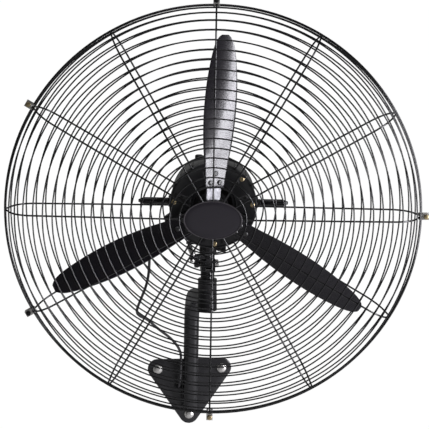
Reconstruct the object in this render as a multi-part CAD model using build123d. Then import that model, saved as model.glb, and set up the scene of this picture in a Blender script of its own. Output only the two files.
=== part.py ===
from build123d import *
import os
from math import acos, atan2, cos, degrees, hypot, radians, sin

# Wall mounted fan: a wire cage with three blades on a motor head, carried by a neck
# that tilts and swings on top of a swan-neck wall bracket.  Millimetres, +Z up.
# The wall is the plane Y = 0 and the fan blows towards -Y.

# ---- Head and bracket, overall ------------------------------------------------------
REACH = 235.0  # wall to the upright swing axis
HEAD_HEIGHT = 438.0  # fan axis above the middle of the plate's bolt holes
PIVOT_OFFSET = 8.0  # the fan axis lies this far to the right of the swing axis
SWING_AT_REST = -8.0  # degrees the head is turned off the wall's square
CLEAR = 0.3  # between pieces that move past each other
RUN = 0.05  # radial clearance of a turning fit
SLIP = 0.02  # radial clearance of a fixed fit

# ---- Wire cage ------------------------------------------------------------------------
CAGE_RADIUS = 360.0
CAGE_FRONT = 61.0  # from the rim plane to the front crown
RIM_FORWARD = 158.0  # rim plane in front of the swing axis
RIM_WIRE = 4.0
SPOKE_WIRE = 2.4
RING_WIRE = 1.6
SPOKES = 12
SHOULDER_RADIUS = 45.0
SHOULDER_INSET = 22.0  # where the crown and the side wall would meet, in from the rim
CROWN_FALL = 10.0  # how far the crown drops before the shoulder
RING_PITCH = 16.6
FRONT_INNER_RINGS = (57.0,)
WELD = 0.3  # how deep crossing wires melt into each other
FRONT_SPOKE_START = 22.0
CLIP_ANGLES = (0, 90, 180, 240, 300)  # clockwise from the top, seen from the front
CLIP_WIDTH = 11.0
CLIP_SHEET = 1.5
CLIP_BOLT = 5.0

# ---- Badge plate -------------------------------------------------------------------------
BADGE_WIDTH = 100.0
BADGE_HEIGHT = 66.0
BADGE_THICK = 2.5

# ---- Blades and hub -------------------------------------------------------------------------
BLADE_COUNT = 3
FIRST_BLADE = 3.0  # degrees clockwise from the top
BLADE_THICK = 2.2
BLADE_MIDDLE = 156.0  # the blades' mid plane in front of the swing axis
ROOT_START = 42.0
ROOT_END = 78.0
ROOT_PITCH = 30.0
ROOT_CHORD = 36.0
TIP_GAP = 52.0  # from the blade's tip to the cage's radius
BLADE_STATIONS = (  # radius, chord, pitch in degrees, camber; stretched to reach the tip
    (ROOT_END, 44.0, ROOT_PITCH, 0.0),
    (120.0, 55.0, 28.0, 2.5),
    (170.0, 60.0, 25.0, 4.0),
    (220.0, 56.5, 22.0, 4.0),
    (262.0, 46.5, 20.0, 3.0),
    (288.0, 36.0, 19.0, 2.0),
    (301.0, 25.0, 18.5, 1.0),
    (308.0, 11.0, 18.0, 0.3),
)
HUB_RADIUS = 23.0
HUB_LENGTH = 50.0
ARM_THICK = 5.0
ARM_WIDTH = 28.0
BLADE_SCREW = 5.0

# ---- Motor -------------------------------------------------------------------------------------
MOTOR_RADIUS = 74.0
MOTOR_WALL = 4.0
MOTOR_FACE = 97.0  # front face in front of the swing axis
FRONT_SHIELD = 17.0
SHELL_LENGTH = 62.0
REAR_SHIELD = 34.0
FINS = 18
FIN_HEIGHT = 2.5
FIN_WIDTH = 2.4
SHAFT_RADIUS = 7.5
SHAFT_NOSE = 188.0
SHAFT_TAIL_RADIUS = 5.0
BEARING_RADIUS = 17.5
BEARING_WIDTH = 11.0
STATOR_BORE = 38.4
ROTOR_GAP = 0.4
PLATE_RADIUS = MOTOR_RADIUS + 3.0
REAR_INNER_RINGS = (PLATE_RADIUS + 11.0, PLATE_RADIUS + 33.0)  # clear of the plate
PLATE_THICK = 2.0
PLATE_SCREW_RING = MOTOR_RADIUS - 5.0
PLATE_SCREW_ANGLES = (46, 88, 177, 274)
PLATE_SCREW = 5.0
TIE_RING = MOTOR_RADIUS - 8.0
TIE_BOLT = 5.0
HANDLE_LENGTH = 53.0
HANDLE_RADIUS = 6.2

# ---- Gearbox and oscillation drive -------------------------------------------------------------
GEAR_CENTRES = 27.0  # worm to wheel
WHEEL_RADIUS = 19.6
WHEEL_TEETH = 30
WHEEL_THICK = 10.0
DRIVE_BACK = 52.0  # the wheel's upright shaft behind the swing axis
GEARBOX_WALL = 4.0
GEAR_ROOM = 3.0  # round the wheel inside the gearbox
GEARBOX_TOP = 36.0
GEARBOX_FLOOR = 30.0
CRANK_SHAFT = 5.0
CRANK_THROW = 16.0
LINK_ARM = 31.0  # anchor pin from the swing axis
LINK_WIDTH = 9.0
LINK_THICK = 3.0
LINK_PIN = 3.0
CLUTCH_ROD = 4.0
CLUTCH_KNOB = 7.5

# ---- Neck, post and socket ----------------------------------------------------------------------
TILT_DROP = 128.0  # tilt axis below the fan axis
EAR_RADIUS = 10.5
TONGUE = 10.0
POST_RADIUS = 12.5
NECK_BLOCK = 7.0
THRUST_WASHER = 1.5
PIVOT_PIN = 8.0
PIVOT_TOP = 66.0  # top of the pivot pin below the fan axis
BUSH_RADIUS = 11.0
BOSS_RADIUS = 15.5
TILT_BOLT = 4.0
SOCKET_TOP = 282.0
SOCKET_HEIGHT = 58.0
SOCKET_TOP_RADIUS = 16.5
SOCKET_BOTTOM_RADIUS = 18.7

# ---- Wall bracket ----------------------------------------------------------------------------------
PLATE_HOLES_WIDE = 125.0
PLATE_HOLES_HIGH = 92.0
PLATE_CORNER = 19.0
WALL_PLATE = 6.0
ANCHOR = 4.0
ANCHOR_DEPTH = 45.0
SLEEVE = 5.0
ARM_SIZE = 28.0
ARM_CORNER = 11.0
ARM_FOOT = -30.0  # lower end of the arm on the plate
ARM_BEND = 62.0
ARM_KNEE = 196.0  # height where the arm turns forward
ARM_STAND_OFF = 20.0

# ---- Cable -------------------------------------------------------------------------------------------
CABLE = 5.0
GLAND_ANGLE = 215.0  # round the fan axis, from +X
GLAND_LENGTH = 14.0
BOX_DEPTH = 22.0
GROMMET_SPOT = (-23.0, 12.0)

# Places that follow from the sizes above, in the head's own frame.
SHELL_FRONT = MOTOR_FACE - FRONT_SHIELD
SHELL_REAR = SHELL_FRONT - SHELL_LENGTH
SHIELD_BACK = SHELL_REAR - REAR_SHIELD
TIE_SEAT = SHIELD_BACK + 14
BLOCK_BOTTOM = -TILT_DROP + EAR_RADIUS + 0.6
BLOCK_TOP = BLOCK_BOTTOM + NECK_BLOCK
BOSS_BOTTOM = BLOCK_TOP + THRUST_WASHER + 2 * RUN
LINK_BOTTOM = BLOCK_TOP + CLEAR
LINK_TOP = LINK_BOTTOM + LINK_THICK
CRANK_PIN_END = LINK_TOP + 0.4
CRANK_BOTTOM = CRANK_PIN_END + 3.0
CRANK_TOP = CRANK_BOTTOM + 5.0
DRIVE_X = PIVOT_OFFSET - GEAR_CENTRES
PLATE_FRONT = MOTOR_FACE + PLATE_THICK
REAR_CROWN = PLATE_FRONT + SPOKE_WIRE / 2 + SLIP
FRONT_CROWN = RIM_FORWARD + CAGE_FRONT

# The head frame has its origin where the swing axis meets the fan axis' height.
# AXIAL puts a shape drawn round Z, with +Z towards the front, on the fan axis.
BRACKET_TOP = Pos(0, -REACH, HEAD_HEIGHT)
HEAD = BRACKET_TOP * Rot(0, 0, SWING_AT_REST)
AXIAL = Pos(PIVOT_OFFSET, 0, 0) * Rot(90, 0, 0)
FAN = HEAD * AXIAL
SIDEWAYS = Rot(0, 90, 0)

parts = {}


def rod(radius, start, end, hole=0.0):
    """A round bar about Z from start to end, or a tube if it has a hole."""
    face = Circle(radius)
    if hole:
        face -= Circle(hole)
    return Pos(0, 0, start) * extrude(face, end - start)


def hexagon(across, start, end, hole=0.0):
    """A hexagon bar about Z, such as a bolt's head or a nut."""
    face = RegularPolygon(across / 2, 6, major_radius=False)
    if hole:
        face -= Circle(hole)
    return Pos(0, 0, start) * extrude(face, end - start)


def turned(*outline):
    """A solid turned about Z from an outline of (radius, height) points."""
    return revolve(Plane.XZ * Polygon(*outline, align=None), Axis.Z)


def clockwise(shape, angles, radius=0.0):
    """Copies of a shape at angles clockwise from the top, seen from the front."""
    return [Rot(0, 0, -angle) * Pos(0, radius, 0) * shape for angle in angles]


def group(shapes):
    """Like pieces kept together, each still a solid of its own."""
    return Compound([solid for shape in shapes for solid in shape.solids()])


def bored(shape, holes):
    """The shape with every hole cut out."""
    for hole in holes:
        shape -= hole
    return shape


# ---- Wire guards -------------------------------------------------------------------------
def dish_line(start, crown, side):
    """Centre line of a spoke: shallow crown, rounded shoulder, steep wall into the rim."""
    knee = CAGE_RADIUS - SHOULDER_INSET
    return FilletPolyline(
        (start, 0, crown),
        (knee, 0, crown - side * CROWN_FALL * (knee - start) / knee),
        (CAGE_RADIUS - RIM_WIRE / 2, 0, rim_middle(side)),
        radius=SHOULDER_RADIUS,
    )


def rim_middle(side):
    return RIM_FORWARD + side * (RIM_WIRE / 2 + SLIP)


def ring(radius, middle, wire):
    """A closed ring of square wire with a flat under each spoke, finer where it is large."""
    sides = SPOKES if radius < CAGE_RADIUS / 3 else 2 * SPOKES
    turn = 180 / sides if sides == 2 * SPOKES else 0
    outer = RegularPolygon(radius + wire / 2, sides, major_radius=False, rotation=turn)
    inner = RegularPolygon(radius - wire / 2, sides, major_radius=False, rotation=turn)
    return Pos(0, 0, middle - wire / 2) * extrude(outer - inner, wire)


def guard(start, inner_rings, crown, side):
    """Half a cage, welded into one: spokes, the rings laid on their outside, and the rim.

    The inner rings have their own radii; from the last of them on, the pitch is even.
    """
    line = dish_line(start, crown, side)
    section = Plane(origin=line @ 0, x_dir=(0, 1, 0), z_dir=line % 0)
    spoke = Rot(0, 0, 90) * sweep(section * Rectangle(SPOKE_WIRE, SPOKE_WIRE), path=line)
    wires = clockwise(spoke, range(0, 360, 360 // SPOKES))
    reaches = [radius - start for radius in inner_rings]
    while reaches[-1] + 1.5 * RING_PITCH < line.length:
        reaches.append(reaches[-1] + RING_PITCH)
    for reach in reaches:
        spot = line.position_at(reach, position_mode=PositionMode.LENGTH)
        way = line.tangent_at(reach, position_mode=PositionMode.LENGTH)
        out = (-side * way.Z, side * way.X)
        lift = SPOKE_WIRE / 2 + RING_WIRE / 2 * (abs(out[0]) + abs(out[1])) - WELD
        wires.append(ring(spot.X + lift * out[0], spot.Z + lift * out[1], RING_WIRE))
    wires.append(ring(CAGE_RADIUS - RIM_WIRE / 2, rim_middle(side), RIM_WIRE))
    return wires


def front_guard():
    wires = guard(FRONT_SPOKE_START, FRONT_INNER_RINGS, FRONT_CROWN, 1)
    return wires[0].fuse(*wires[1:])


def rear_guard():
    """The rear half's spokes end on a stamped plate that is screwed to the motor."""
    wires = guard(PLATE_RADIUS - 3, REAR_INNER_RINGS, REAR_CROWN, -1)
    return wires[0].fuse(*wires[1:])


def guard_plate():
    """Stamped disc in the middle of the rear guard, with vent slots and screw holes."""
    disc = rod(PLATE_RADIUS, MOTOR_FACE + SLIP / 2, PLATE_FRONT, hole=40.0)
    slot = Pos(0, 52, MOTOR_FACE) * extrude(SlotOverall(16, 5, rotation=90), PLATE_THICK)
    screw_hole = rod(PLATE_SCREW / 2 + SLIP, MOTOR_FACE, PLATE_FRONT)
    vents = clockwise(slot, range(15, 360, 30))
    holes = clockwise(screw_hole, PLATE_SCREW_ANGLES, PLATE_SCREW_RING)
    return bored(disc, vents + holes)


def plate_screw():
    return Pos(0, 0, PLATE_FRONT) * (rod(4.4, 0, 2.6) + rod(PLATE_SCREW / 2, -12.0, 0.1))


def clip():
    """A strap folded round both rims and notched for the spokes, its ears outside."""
    outer = CAGE_RADIUS + 12.0
    inner = CAGE_RADIUS - RIM_WIRE - 3.0
    half = RIM_WIRE + 2 * SLIP + CLIP_SHEET
    strap = Pos(0, (outer + inner) / 2, RIM_FORWARD) * Box(CLIP_WIDTH, outer - inner, 2 * half)
    space_start = inner + CLIP_SHEET
    space = Pos(0, (outer + 1 + space_start) / 2, RIM_FORWARD)
    space *= Box(CLIP_WIDTH + 1, outer + 1 - space_start, 2 * (RIM_WIRE + 2 * SLIP))
    notch = Pos(0, (inner + CAGE_RADIUS) / 2 - 0.5, RIM_FORWARD)
    notch *= Box(SPOKE_WIRE + 2 * CLEAR, CAGE_RADIUS - inner + 1, 3 * half)
    bolt_hole = rod(CLIP_BOLT / 2 + SLIP, RIM_FORWARD - half, RIM_FORWARD + half)
    return strap - space - notch - Pos(0, CAGE_RADIUS + 7, 0) * bolt_hole


def clip_bolt():
    half = RIM_WIRE + 2 * SLIP + CLIP_SHEET
    front = RIM_FORWARD + half
    shank = rod(CLIP_BOLT / 2, RIM_FORWARD - half - 6.0, front)
    return hexagon(8.0, front, front + 3.5) + shank


def clip_nut():
    back = RIM_FORWARD - RIM_WIRE - 2 * SLIP - CLIP_SHEET
    return hexagon(8.0, back - 4.0, back, hole=CLIP_BOLT / 2 + SLIP)


# ---- Badge plate ---------------------------------------------------------------------------
BADGE_BACK = FRONT_CROWN + SPOKE_WIRE / 2 + SLIP
CLAMP_FRONT = FRONT_CROWN - SPOKE_WIRE / 2 - CROWN_FALL * BADGE_WIDTH / 3 / CAGE_RADIUS
CLAMP_THICK = 2.0


def badge_plate():
    """A bare oval plate in front of the spokes' inner ends."""
    plate = Pos(0, 0, BADGE_BACK) * extrude(Ellipse(BADGE_WIDTH / 2, BADGE_HEIGHT / 2), BADGE_THICK)
    return chamfer(plate.faces().sort_by(Axis.Z)[-1].edges(), 0.9)


def badge_clamp():
    """The small plate behind the spokes that pinches them against the badge."""
    back = CLAMP_FRONT - CLAMP_THICK
    plate = Pos(0, 0, back) * extrude(Ellipse(BADGE_WIDTH / 3, BADGE_HEIGHT / 3), CLAMP_THICK)
    hole = rod(2.0 + SLIP, back, CLAMP_FRONT)
    return bored(plate, [Pos(side * 9, 0, 0) * hole for side in (-1, 1)])


def badge_screw():
    under = CLAMP_FRONT - CLAMP_THICK
    return rod(2.0, under, BADGE_BACK) + rod(3.6, under - 2.2, under)


# ---- Blades and hub -------------------------------------------------------------------------
def blade_section(radius, chord, pitch, camber):
    """Thin curved strip across the blade, its right edge swept back by the pitch."""
    tilt = radians(pitch)
    across = (cos(tilt), 0, -sin(tilt))
    plane = Plane(origin=(0, radius, BLADE_MIDDLE), x_dir=across, z_dir=(0, 1, 0))
    half, low = chord / 2, BLADE_THICK
    if camber:
        front = ThreePointArc((-half, 0), (0, -camber), (half, 0))
        back = ThreePointArc((half, low), (0, low - camber), (-half, low))
    else:
        front = Line((-half, 0), (half, 0))
        back = Line((half, low), (-half, low))
    face = make_face([front, Line(front @ 1, back @ 0), back, Line(back @ 1, front @ 0)])
    return plane * face


def root_frame():
    """On the blade's flat root: X across it, Y outwards, Z off its front face."""
    tilt = radians(ROOT_PITCH)
    front = (sin(tilt), 0, cos(tilt))
    return Plane(origin=(0, 0, BLADE_MIDDLE), x_dir=(cos(tilt), 0, -sin(tilt)), z_dir=front)


SCREW_SPOTS = ((-9.0, 52.0), (9.0, 52.0), (0.0, 68.0))


def blade():
    """Flat root pad, then a twisted and cambered blade with a rounded tip."""
    end_chord = BLADE_STATIONS[0][1]
    pad = Polygon(
        (-ROOT_CHORD / 2, ROOT_START),
        (ROOT_CHORD / 2, ROOT_START),
        (end_chord / 2, ROOT_END),
        (-end_chord / 2, ROOT_END),
        align=None,
    )
    pad = root_frame() * extrude(pad, -BLADE_THICK)
    stretch = (CAGE_RADIUS - TIP_GAP - ROOT_END) / (BLADE_STATIONS[-1][0] - ROOT_END)
    sections = []
    for radius, *measures in BLADE_STATIONS:
        sections.append(blade_section(ROOT_END + (radius - ROOT_END) * stretch, *measures))
    body = pad + loft(sections)
    hole = rod(BLADE_SCREW / 2 + SLIP, -BLADE_THICK, 1.0)
    return bored(body, [root_frame() * Pos(x, y, 0) * hole for x, y in SCREW_SPOTS])


def fan_hub():
    """Turned boss with three flat arms that carry the blades' root pads."""
    back = BLADE_MIDDLE - 34.0
    boss = rod(HUB_RADIUS, back, back + HUB_LENGTH)
    arm = Pos(0, 0, -BLADE_THICK - SLIP) * extrude(
        Pos(0, 45) * RectangleRounded(ARM_WIDTH, 64, 8), -ARM_THICK
    )
    hole = rod(BLADE_SCREW / 2 + SLIP, -BLADE_THICK - ARM_THICK - 1, 1.0)
    arm = bored(arm, [Pos(x, y, 0) * hole for x, y in SCREW_SPOTS])
    arms = clockwise(root_frame() * arm, blade_angles())
    hub = boss
    for one in arms:
        hub += one
    return hub - rod(SHAFT_RADIUS + SLIP, back, back + HUB_LENGTH)


def blade_angles():
    return [FIRST_BLADE + 360 / BLADE_COUNT * i for i in range(BLADE_COUNT)]


def blade_screw():
    through = BLADE_THICK + ARM_THICK + SLIP
    nut = hexagon(8.0, -through - 4.0, -through)
    return rod(4.6, 0, 2.6) + rod(BLADE_SCREW / 2, -through - 4.0, 0.1) + nut


# ---- Motor ------------------------------------------------------------------------------------
def motor_shell():
    """Tube round the stator, with cooling fins along it and a boss for each handle."""
    start, end = SHELL_REAR, SHELL_FRONT
    shell = rod(MOTOR_RADIUS, start, end)
    fin_reach = MOTOR_RADIUS + FIN_HEIGHT / 2 - 0.5
    fin = Pos(0, fin_reach, (start + end) / 2)
    fin *= Box(FIN_WIDTH, FIN_HEIGHT + 1, end - start - 8)
    step = 360 / FINS
    angles = [step / 2 + step * i for i in range(FINS)]
    clear_of_handles = [a for a in angles if abs(abs(a - 180) - 90) > step / 4]
    for one in clockwise(fin, clear_of_handles):
        shell += one
    outwards = Pos(0, 0, handle_station()) * Rot(-90, 0, 0)
    boss = outwards * rod(10.0, MOTOR_RADIUS - 6, MOTOR_RADIUS + 5)
    for one in clockwise(boss, (90, 270)):
        shell += one
    shell -= rod(MOTOR_RADIUS - MOTOR_WALL, start, end)
    bore = outwards * rod(4.0 + SLIP, MOTOR_RADIUS - 5, MOTOR_RADIUS + 6)
    return bored(shell, clockwise(bore, (90, 270)))


def handle_station():
    return SHELL_FRONT - 14.0


def horn_handle():
    """Bar with a tapered tip, screwed into the side of the motor to aim the head by."""
    base = MOTOR_RADIUS + 5
    tip = base + HANDLE_LENGTH
    bar = turned(
        (0, base), (HANDLE_RADIUS, base), (HANDLE_RADIUS, tip - 9), (HANDLE_RADIUS * 0.45, tip), (0, tip)
    )
    stud = rod(4.0, MOTOR_RADIUS - MOTOR_WALL + 1, base + 0.1)
    return Pos(0, 0, handle_station()) * Rot(-90, 0, 0) * (bar + stud)


def front_shield():
    """Cast end cover: a shallow cup with a bearing hub and ribs, open between them."""
    back, face = SHELL_FRONT, MOTOR_FACE
    cup = rod(MOTOR_RADIUS, back + SLIP, face) - rod(MOTOR_RADIUS - MOTOR_WALL - 1, back, face - 5.0)
    hub = rod(BEARING_RADIUS + 5, back + 4, face)
    rib = Pos(0, 44, face - 6.0) * Box(4.0, 54.0, 9.0)
    window = Pos(0, 0, face - 5.5) * extrude(SlotCenterToCenter(14, 7), 6.0)
    cup = bored(cup, clockwise(window, range(15, 360, 30), 30.0))
    cup += hub
    for one in clockwise(rib, range(0, 360, 60)):
        cup += one
    lug = rod(7.0, back + SLIP, face)
    for one in clockwise(lug, PLATE_SCREW_ANGLES + tie_angles(), TIE_RING - 1):
        cup += one
    cup -= rod(SHAFT_RADIUS + 1.0, back, face)
    cup -= rod(BEARING_RADIUS + SLIP, back, face - 2.0)
    plate_hole = rod(PLATE_SCREW / 2 + SLIP, face - 12.5, face)
    tie_hole = rod(TIE_BOLT / 2 + SLIP, back, back + 9)
    cup = bored(cup, clockwise(plate_hole, PLATE_SCREW_ANGLES, PLATE_SCREW_RING))
    return bored(cup, clockwise(tie_hole, tie_angles(), TIE_RING))


def tie_angles():
    return (20, 110, 200, 290)


def rear_shield():
    """Cast rear cover with the bearing hub and, hanging below, the swing pivot's boss."""
    outer = turned(
        (0, SHELL_REAR - SLIP),
        (MOTOR_RADIUS, SHELL_REAR - SLIP),
        (MOTOR_RADIUS, SHELL_REAR - 14),
        (MOTOR_RADIUS - 12, SHIELD_BACK + 4),
        (MOTOR_RADIUS - 20, SHIELD_BACK),
        (0, SHIELD_BACK),
    )
    inner = turned(
        (0, SHELL_REAR),
        (MOTOR_RADIUS - 5, SHELL_REAR),
        (MOTOR_RADIUS - 5, SHELL_REAR - 14),
        (MOTOR_RADIUS - 17, SHIELD_BACK + 9),
        (MOTOR_RADIUS - 22, SHIELD_BACK + 5),
        (0, SHIELD_BACK + 5),
    )
    cup = outer - inner + rod(BEARING_RADIUS + 5, SHIELD_BACK, bearing_rear() + BEARING_WIDTH)
    for one in clockwise(rod(7.0, TIE_SEAT - 2, SHELL_REAR - SLIP), tie_angles(), TIE_RING - 1):
        cup += one
    cup -= rod(SHAFT_RADIUS + 1.0, SHIELD_BACK, SHELL_REAR)
    cup -= rod(BEARING_RADIUS + SLIP, bearing_rear(), SHELL_REAR)
    shield = AXIAL * cup + rod(BOSS_RADIUS, BOSS_BOTTOM, -PIVOT_TOP + 8)
    bolt_hole = rod(TIE_BOLT / 2 + SLIP, SHIELD_BACK, SHELL_REAR)
    pocket = rod(TIE_BOLT + 0.8, SHIELD_BACK, TIE_SEAT)
    shield = bored(shield, [AXIAL * hole for hole in clockwise(bolt_hole + pocket, tie_angles(), TIE_RING)])
    shield -= rod(BUSH_RADIUS + SLIP, BOSS_BOTTOM, -PIVOT_TOP + 4)
    lock_hole = SIDEWAYS * rod(3.0 + RUN, BUSH_RADIUS - 1, BOSS_RADIUS + 1)
    return shield - Pos(0, 0, BOSS_BOTTOM + 8) * lock_hole


def bearing_rear():
    return SHIELD_BACK + 8.0


def bearing(start):
    return rod(BEARING_RADIUS, start, start + BEARING_WIDTH, hole=SHAFT_RADIUS + RUN)


def tie_bolt():
    """Long bolt that draws the two end covers onto the shell."""
    return rod(TIE_BOLT / 2, TIE_SEAT, SHELL_FRONT + 8) + hexagon(8.0, TIE_SEAT - 4, TIE_SEAT)


def stator_core():
    start, end = SHELL_REAR + 12, SHELL_FRONT - 12
    core = rod(MOTOR_RADIUS - MOTOR_WALL - SLIP, start, end, hole=STATOR_BORE)
    return bored(core, clockwise(rod(TIE_BOLT / 2 + 0.5, start, end), tie_angles(), TIE_RING))


def stator_winding(start, end):
    return rod(60.0, start, end, hole=44.0)


def rotor_core():
    return rod(STATOR_BORE - ROTOR_GAP, SHELL_REAR + 12, SHELL_FRONT - 12, hole=SHAFT_RADIUS + SLIP)


def motor_shaft():
    """One shaft from the worm behind the motor to the hub's nut."""
    return turned(
        (0, -DRIVE_BACK - 16),
        (SHAFT_TAIL_RADIUS, -DRIVE_BACK - 16),
        (SHAFT_TAIL_RADIUS, SHIELD_BACK - GEARBOX_WALL),
        (SHAFT_RADIUS, SHIELD_BACK - GEARBOX_WALL),
        (SHAFT_RADIUS, SHAFT_NOSE - 14),
        (5.0, SHAFT_NOSE - 14),
        (5.0, SHAFT_NOSE - 1),
        (4.0, SHAFT_NOSE),
        (0, SHAFT_NOSE),
    )


def hub_nut():
    seat = BLADE_MIDDLE - 34.0 + HUB_LENGTH
    return hexagon(18.0, seat + SLIP, seat + 9, hole=SHAFT_RADIUS + SLIP) + rod(
        11.0, seat + 9, seat + 12, hole=5.0 + SLIP
    )


# ---- Gearbox -------------------------------------------------------------------------------------
GEARBOX_LEFT = DRIVE_X - WHEEL_RADIUS - GEAR_ROOM
GEARBOX_RIGHT = PIVOT_OFFSET + WHEEL_RADIUS - CRANK_SHAFT
GEARBOX_START = -SHIELD_BACK + GEARBOX_WALL
GEARBOX_END = DRIVE_BACK + WHEEL_RADIUS + GEAR_ROOM


def gearbox_box(grow, floor, top):
    """Rounded block round the worm and wheel, grown on all four sides."""
    wide = GEARBOX_RIGHT - GEARBOX_LEFT + 2 * grow
    deep = GEARBOX_END - GEARBOX_START + 2 * grow
    middle = Pos((GEARBOX_LEFT + GEARBOX_RIGHT) / 2, (GEARBOX_START + GEARBOX_END) / 2, floor)
    return middle * extrude(RectangleRounded(wide, deep, 6 + grow), top - floor)


def gearbox_housing():
    """Open-topped casting bolted behind the motor; the crank shaft's tube hangs below."""
    body = gearbox_box(GEARBOX_WALL - SLIP, -GEARBOX_FLOOR, GEARBOX_TOP)
    body -= gearbox_box(0, -GEARBOX_FLOOR + GEARBOX_WALL, GEARBOX_TOP)
    tube = rod(CRANK_SHAFT + 6, CRANK_TOP + 1.0, -GEARBOX_FLOOR + 1)
    body += Pos(DRIVE_X, DRIVE_BACK, 0) * tube
    body -= Pos(DRIVE_X, DRIVE_BACK, 0) * rod(CRANK_SHAFT + RUN, CRANK_TOP, 0)
    for spot in cover_spots():
        body += spot * rod(4.5, SHAFT_RADIUS + 4, GEARBOX_TOP)
        body -= spot * rod(2.0 + SLIP, SHAFT_RADIUS + 8, GEARBOX_TOP)
    return body - AXIAL * rod(SHAFT_RADIUS + 1.0, -DRIVE_BACK, SHIELD_BACK + 1)


def gearbox_cover():
    lid = gearbox_box(GEARBOX_WALL - SLIP, GEARBOX_TOP + SLIP, GEARBOX_TOP + 4)
    lid += Pos(DRIVE_X, DRIVE_BACK, 0) * rod(9.0, GEARBOX_TOP + 3, GEARBOX_TOP + 9)
    lid -= Pos(DRIVE_X, DRIVE_BACK, 0) * rod(CLUTCH_ROD + RUN, GEARBOX_TOP, GEARBOX_TOP + 10)
    return bored(lid, [spot * rod(2.0 + SLIP, GEARBOX_TOP, GEARBOX_TOP + 4) for spot in cover_spots()])


def cover_spots():
    """The cover's four screws, just inside the corners of the housing."""
    sides = (GEARBOX_LEFT + 2, GEARBOX_RIGHT - 2)
    return [Pos(x, y, 0) for x in sides for y in (GEARBOX_START + 2, GEARBOX_END - 2)]


def cover_screw():
    seat = GEARBOX_TOP + 4
    return rod(3.4, seat, seat + 2.4) + rod(2.0, GEARBOX_TOP - 10, seat + 0.1)


def worm():
    """Hardened sleeve pressed on the shaft's tail, where it meets the wheel."""
    length = 26.0
    outside = GEAR_CENTRES - WHEEL_RADIUS - CLEAR
    return rod(outside, -DRIVE_BACK - length / 2, -DRIVE_BACK + length / 2, hole=SHAFT_TAIL_RADIUS + SLIP)


def drive_wheel():
    """Worm wheel with straight-cut teeth on the upright crank shaft."""
    blank = rod(WHEEL_RADIUS, -WHEEL_THICK / 2, WHEEL_THICK / 2, hole=CRANK_SHAFT + SLIP)
    gap = Pos(0, WHEEL_RADIUS, -WHEEL_THICK / 2)
    gap *= extrude(Polygon((-1.3, 0.5), (1.3, 0.5), (0.6, -2.2), (-0.6, -2.2), align=None), WHEEL_THICK)
    return bored(blank, [group(clockwise(gap, [360 / WHEEL_TEETH * i for i in range(WHEEL_TEETH)]))])


def crank():
    """Shaft, arm and downward pin in one; the pin drives the link."""
    shaft = rod(CRANK_SHAFT, CRANK_BOTTOM + 1, WHEEL_THICK / 2 + 2)
    web = make_hull((Sketch() + Circle(8.0) + Pos(CRANK_THROW, 0) * Circle(5.5)).edges())
    arm = Pos(0, 0, CRANK_BOTTOM) * extrude(web, CRANK_TOP - CRANK_BOTTOM)
    pin = Pos(CRANK_THROW, 0, 0) * rod(LINK_PIN, CRANK_PIN_END, CRANK_BOTTOM + 1)
    return Rot(0, 0, crank_turn()) * (shaft + arm + pin)


def clutch_knob():
    """Pull knob and its rod; drawn up, it lets the head stay where it is aimed."""
    top = GEARBOX_TOP + 26
    knob = turned(
        (0, top - 14),
        (CLUTCH_KNOB - 2, top - 14),
        (CLUTCH_KNOB, top - 10),
        (CLUTCH_KNOB, top - 2),
        (CLUTCH_KNOB - 2, top),
        (0, top),
    )
    return knob + rod(CLUTCH_ROD, WHEEL_THICK / 2 + 4, top - 13)


# Linkage in the neck's frame.  With the head square to the wall the anchor arm is square
# to the line from the swing axis to the crank, and the link reaches the crank's axis.
def turn(x, y, angle):
    a = radians(angle)
    return x * cos(a) - y * sin(a), x * sin(a) + y * cos(a)


def crank_axis(swing):
    """Where the crank's axis stands in the neck's frame when the head is swung."""
    return turn(DRIVE_X, DRIVE_BACK, swing)


ANCHOR_SPOT = turn(LINK_ARM, 0, degrees(atan2(DRIVE_BACK, DRIVE_X)) + 90)
LINK_LENGTH = hypot(DRIVE_X - ANCHOR_SPOT[0], DRIVE_BACK - ANCHOR_SPOT[1])


def link_turn():
    """Direction of the link at rest, in degrees in the neck's frame."""
    x, y = crank_axis(SWING_AT_REST)
    dx, dy = x - ANCHOR_SPOT[0], y - ANCHOR_SPOT[1]
    span = hypot(dx, dy)
    corner = (span**2 + LINK_LENGTH**2 - CRANK_THROW**2) / (2 * span * LINK_LENGTH)
    return degrees(atan2(dy, dx) + acos(corner))


def crank_turn():
    """Direction of the crank at rest, in degrees in the head's frame."""
    end_x, end_y = turn(LINK_LENGTH, 0, link_turn())
    x, y = crank_axis(SWING_AT_REST)
    return degrees(atan2(ANCHOR_SPOT[1] + end_y - y, ANCHOR_SPOT[0] + end_x - x)) - SWING_AT_REST


def link_strap():
    """Flat steel link with an eye at each end."""
    eyes = Sketch() + Circle(LINK_WIDTH / 2) + Pos(LINK_LENGTH, 0) * Circle(LINK_WIDTH / 2)
    strap = extrude(make_hull(eyes.edges()), LINK_THICK)
    strap -= rod(LINK_PIN + RUN, 0, LINK_THICK)
    strap -= Pos(LINK_LENGTH, 0, 0) * rod(LINK_PIN + 0.4, 0, LINK_THICK)
    return Pos(*ANCHOR_SPOT, LINK_BOTTOM) * Rot(0, 0, link_turn()) * strap


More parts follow.
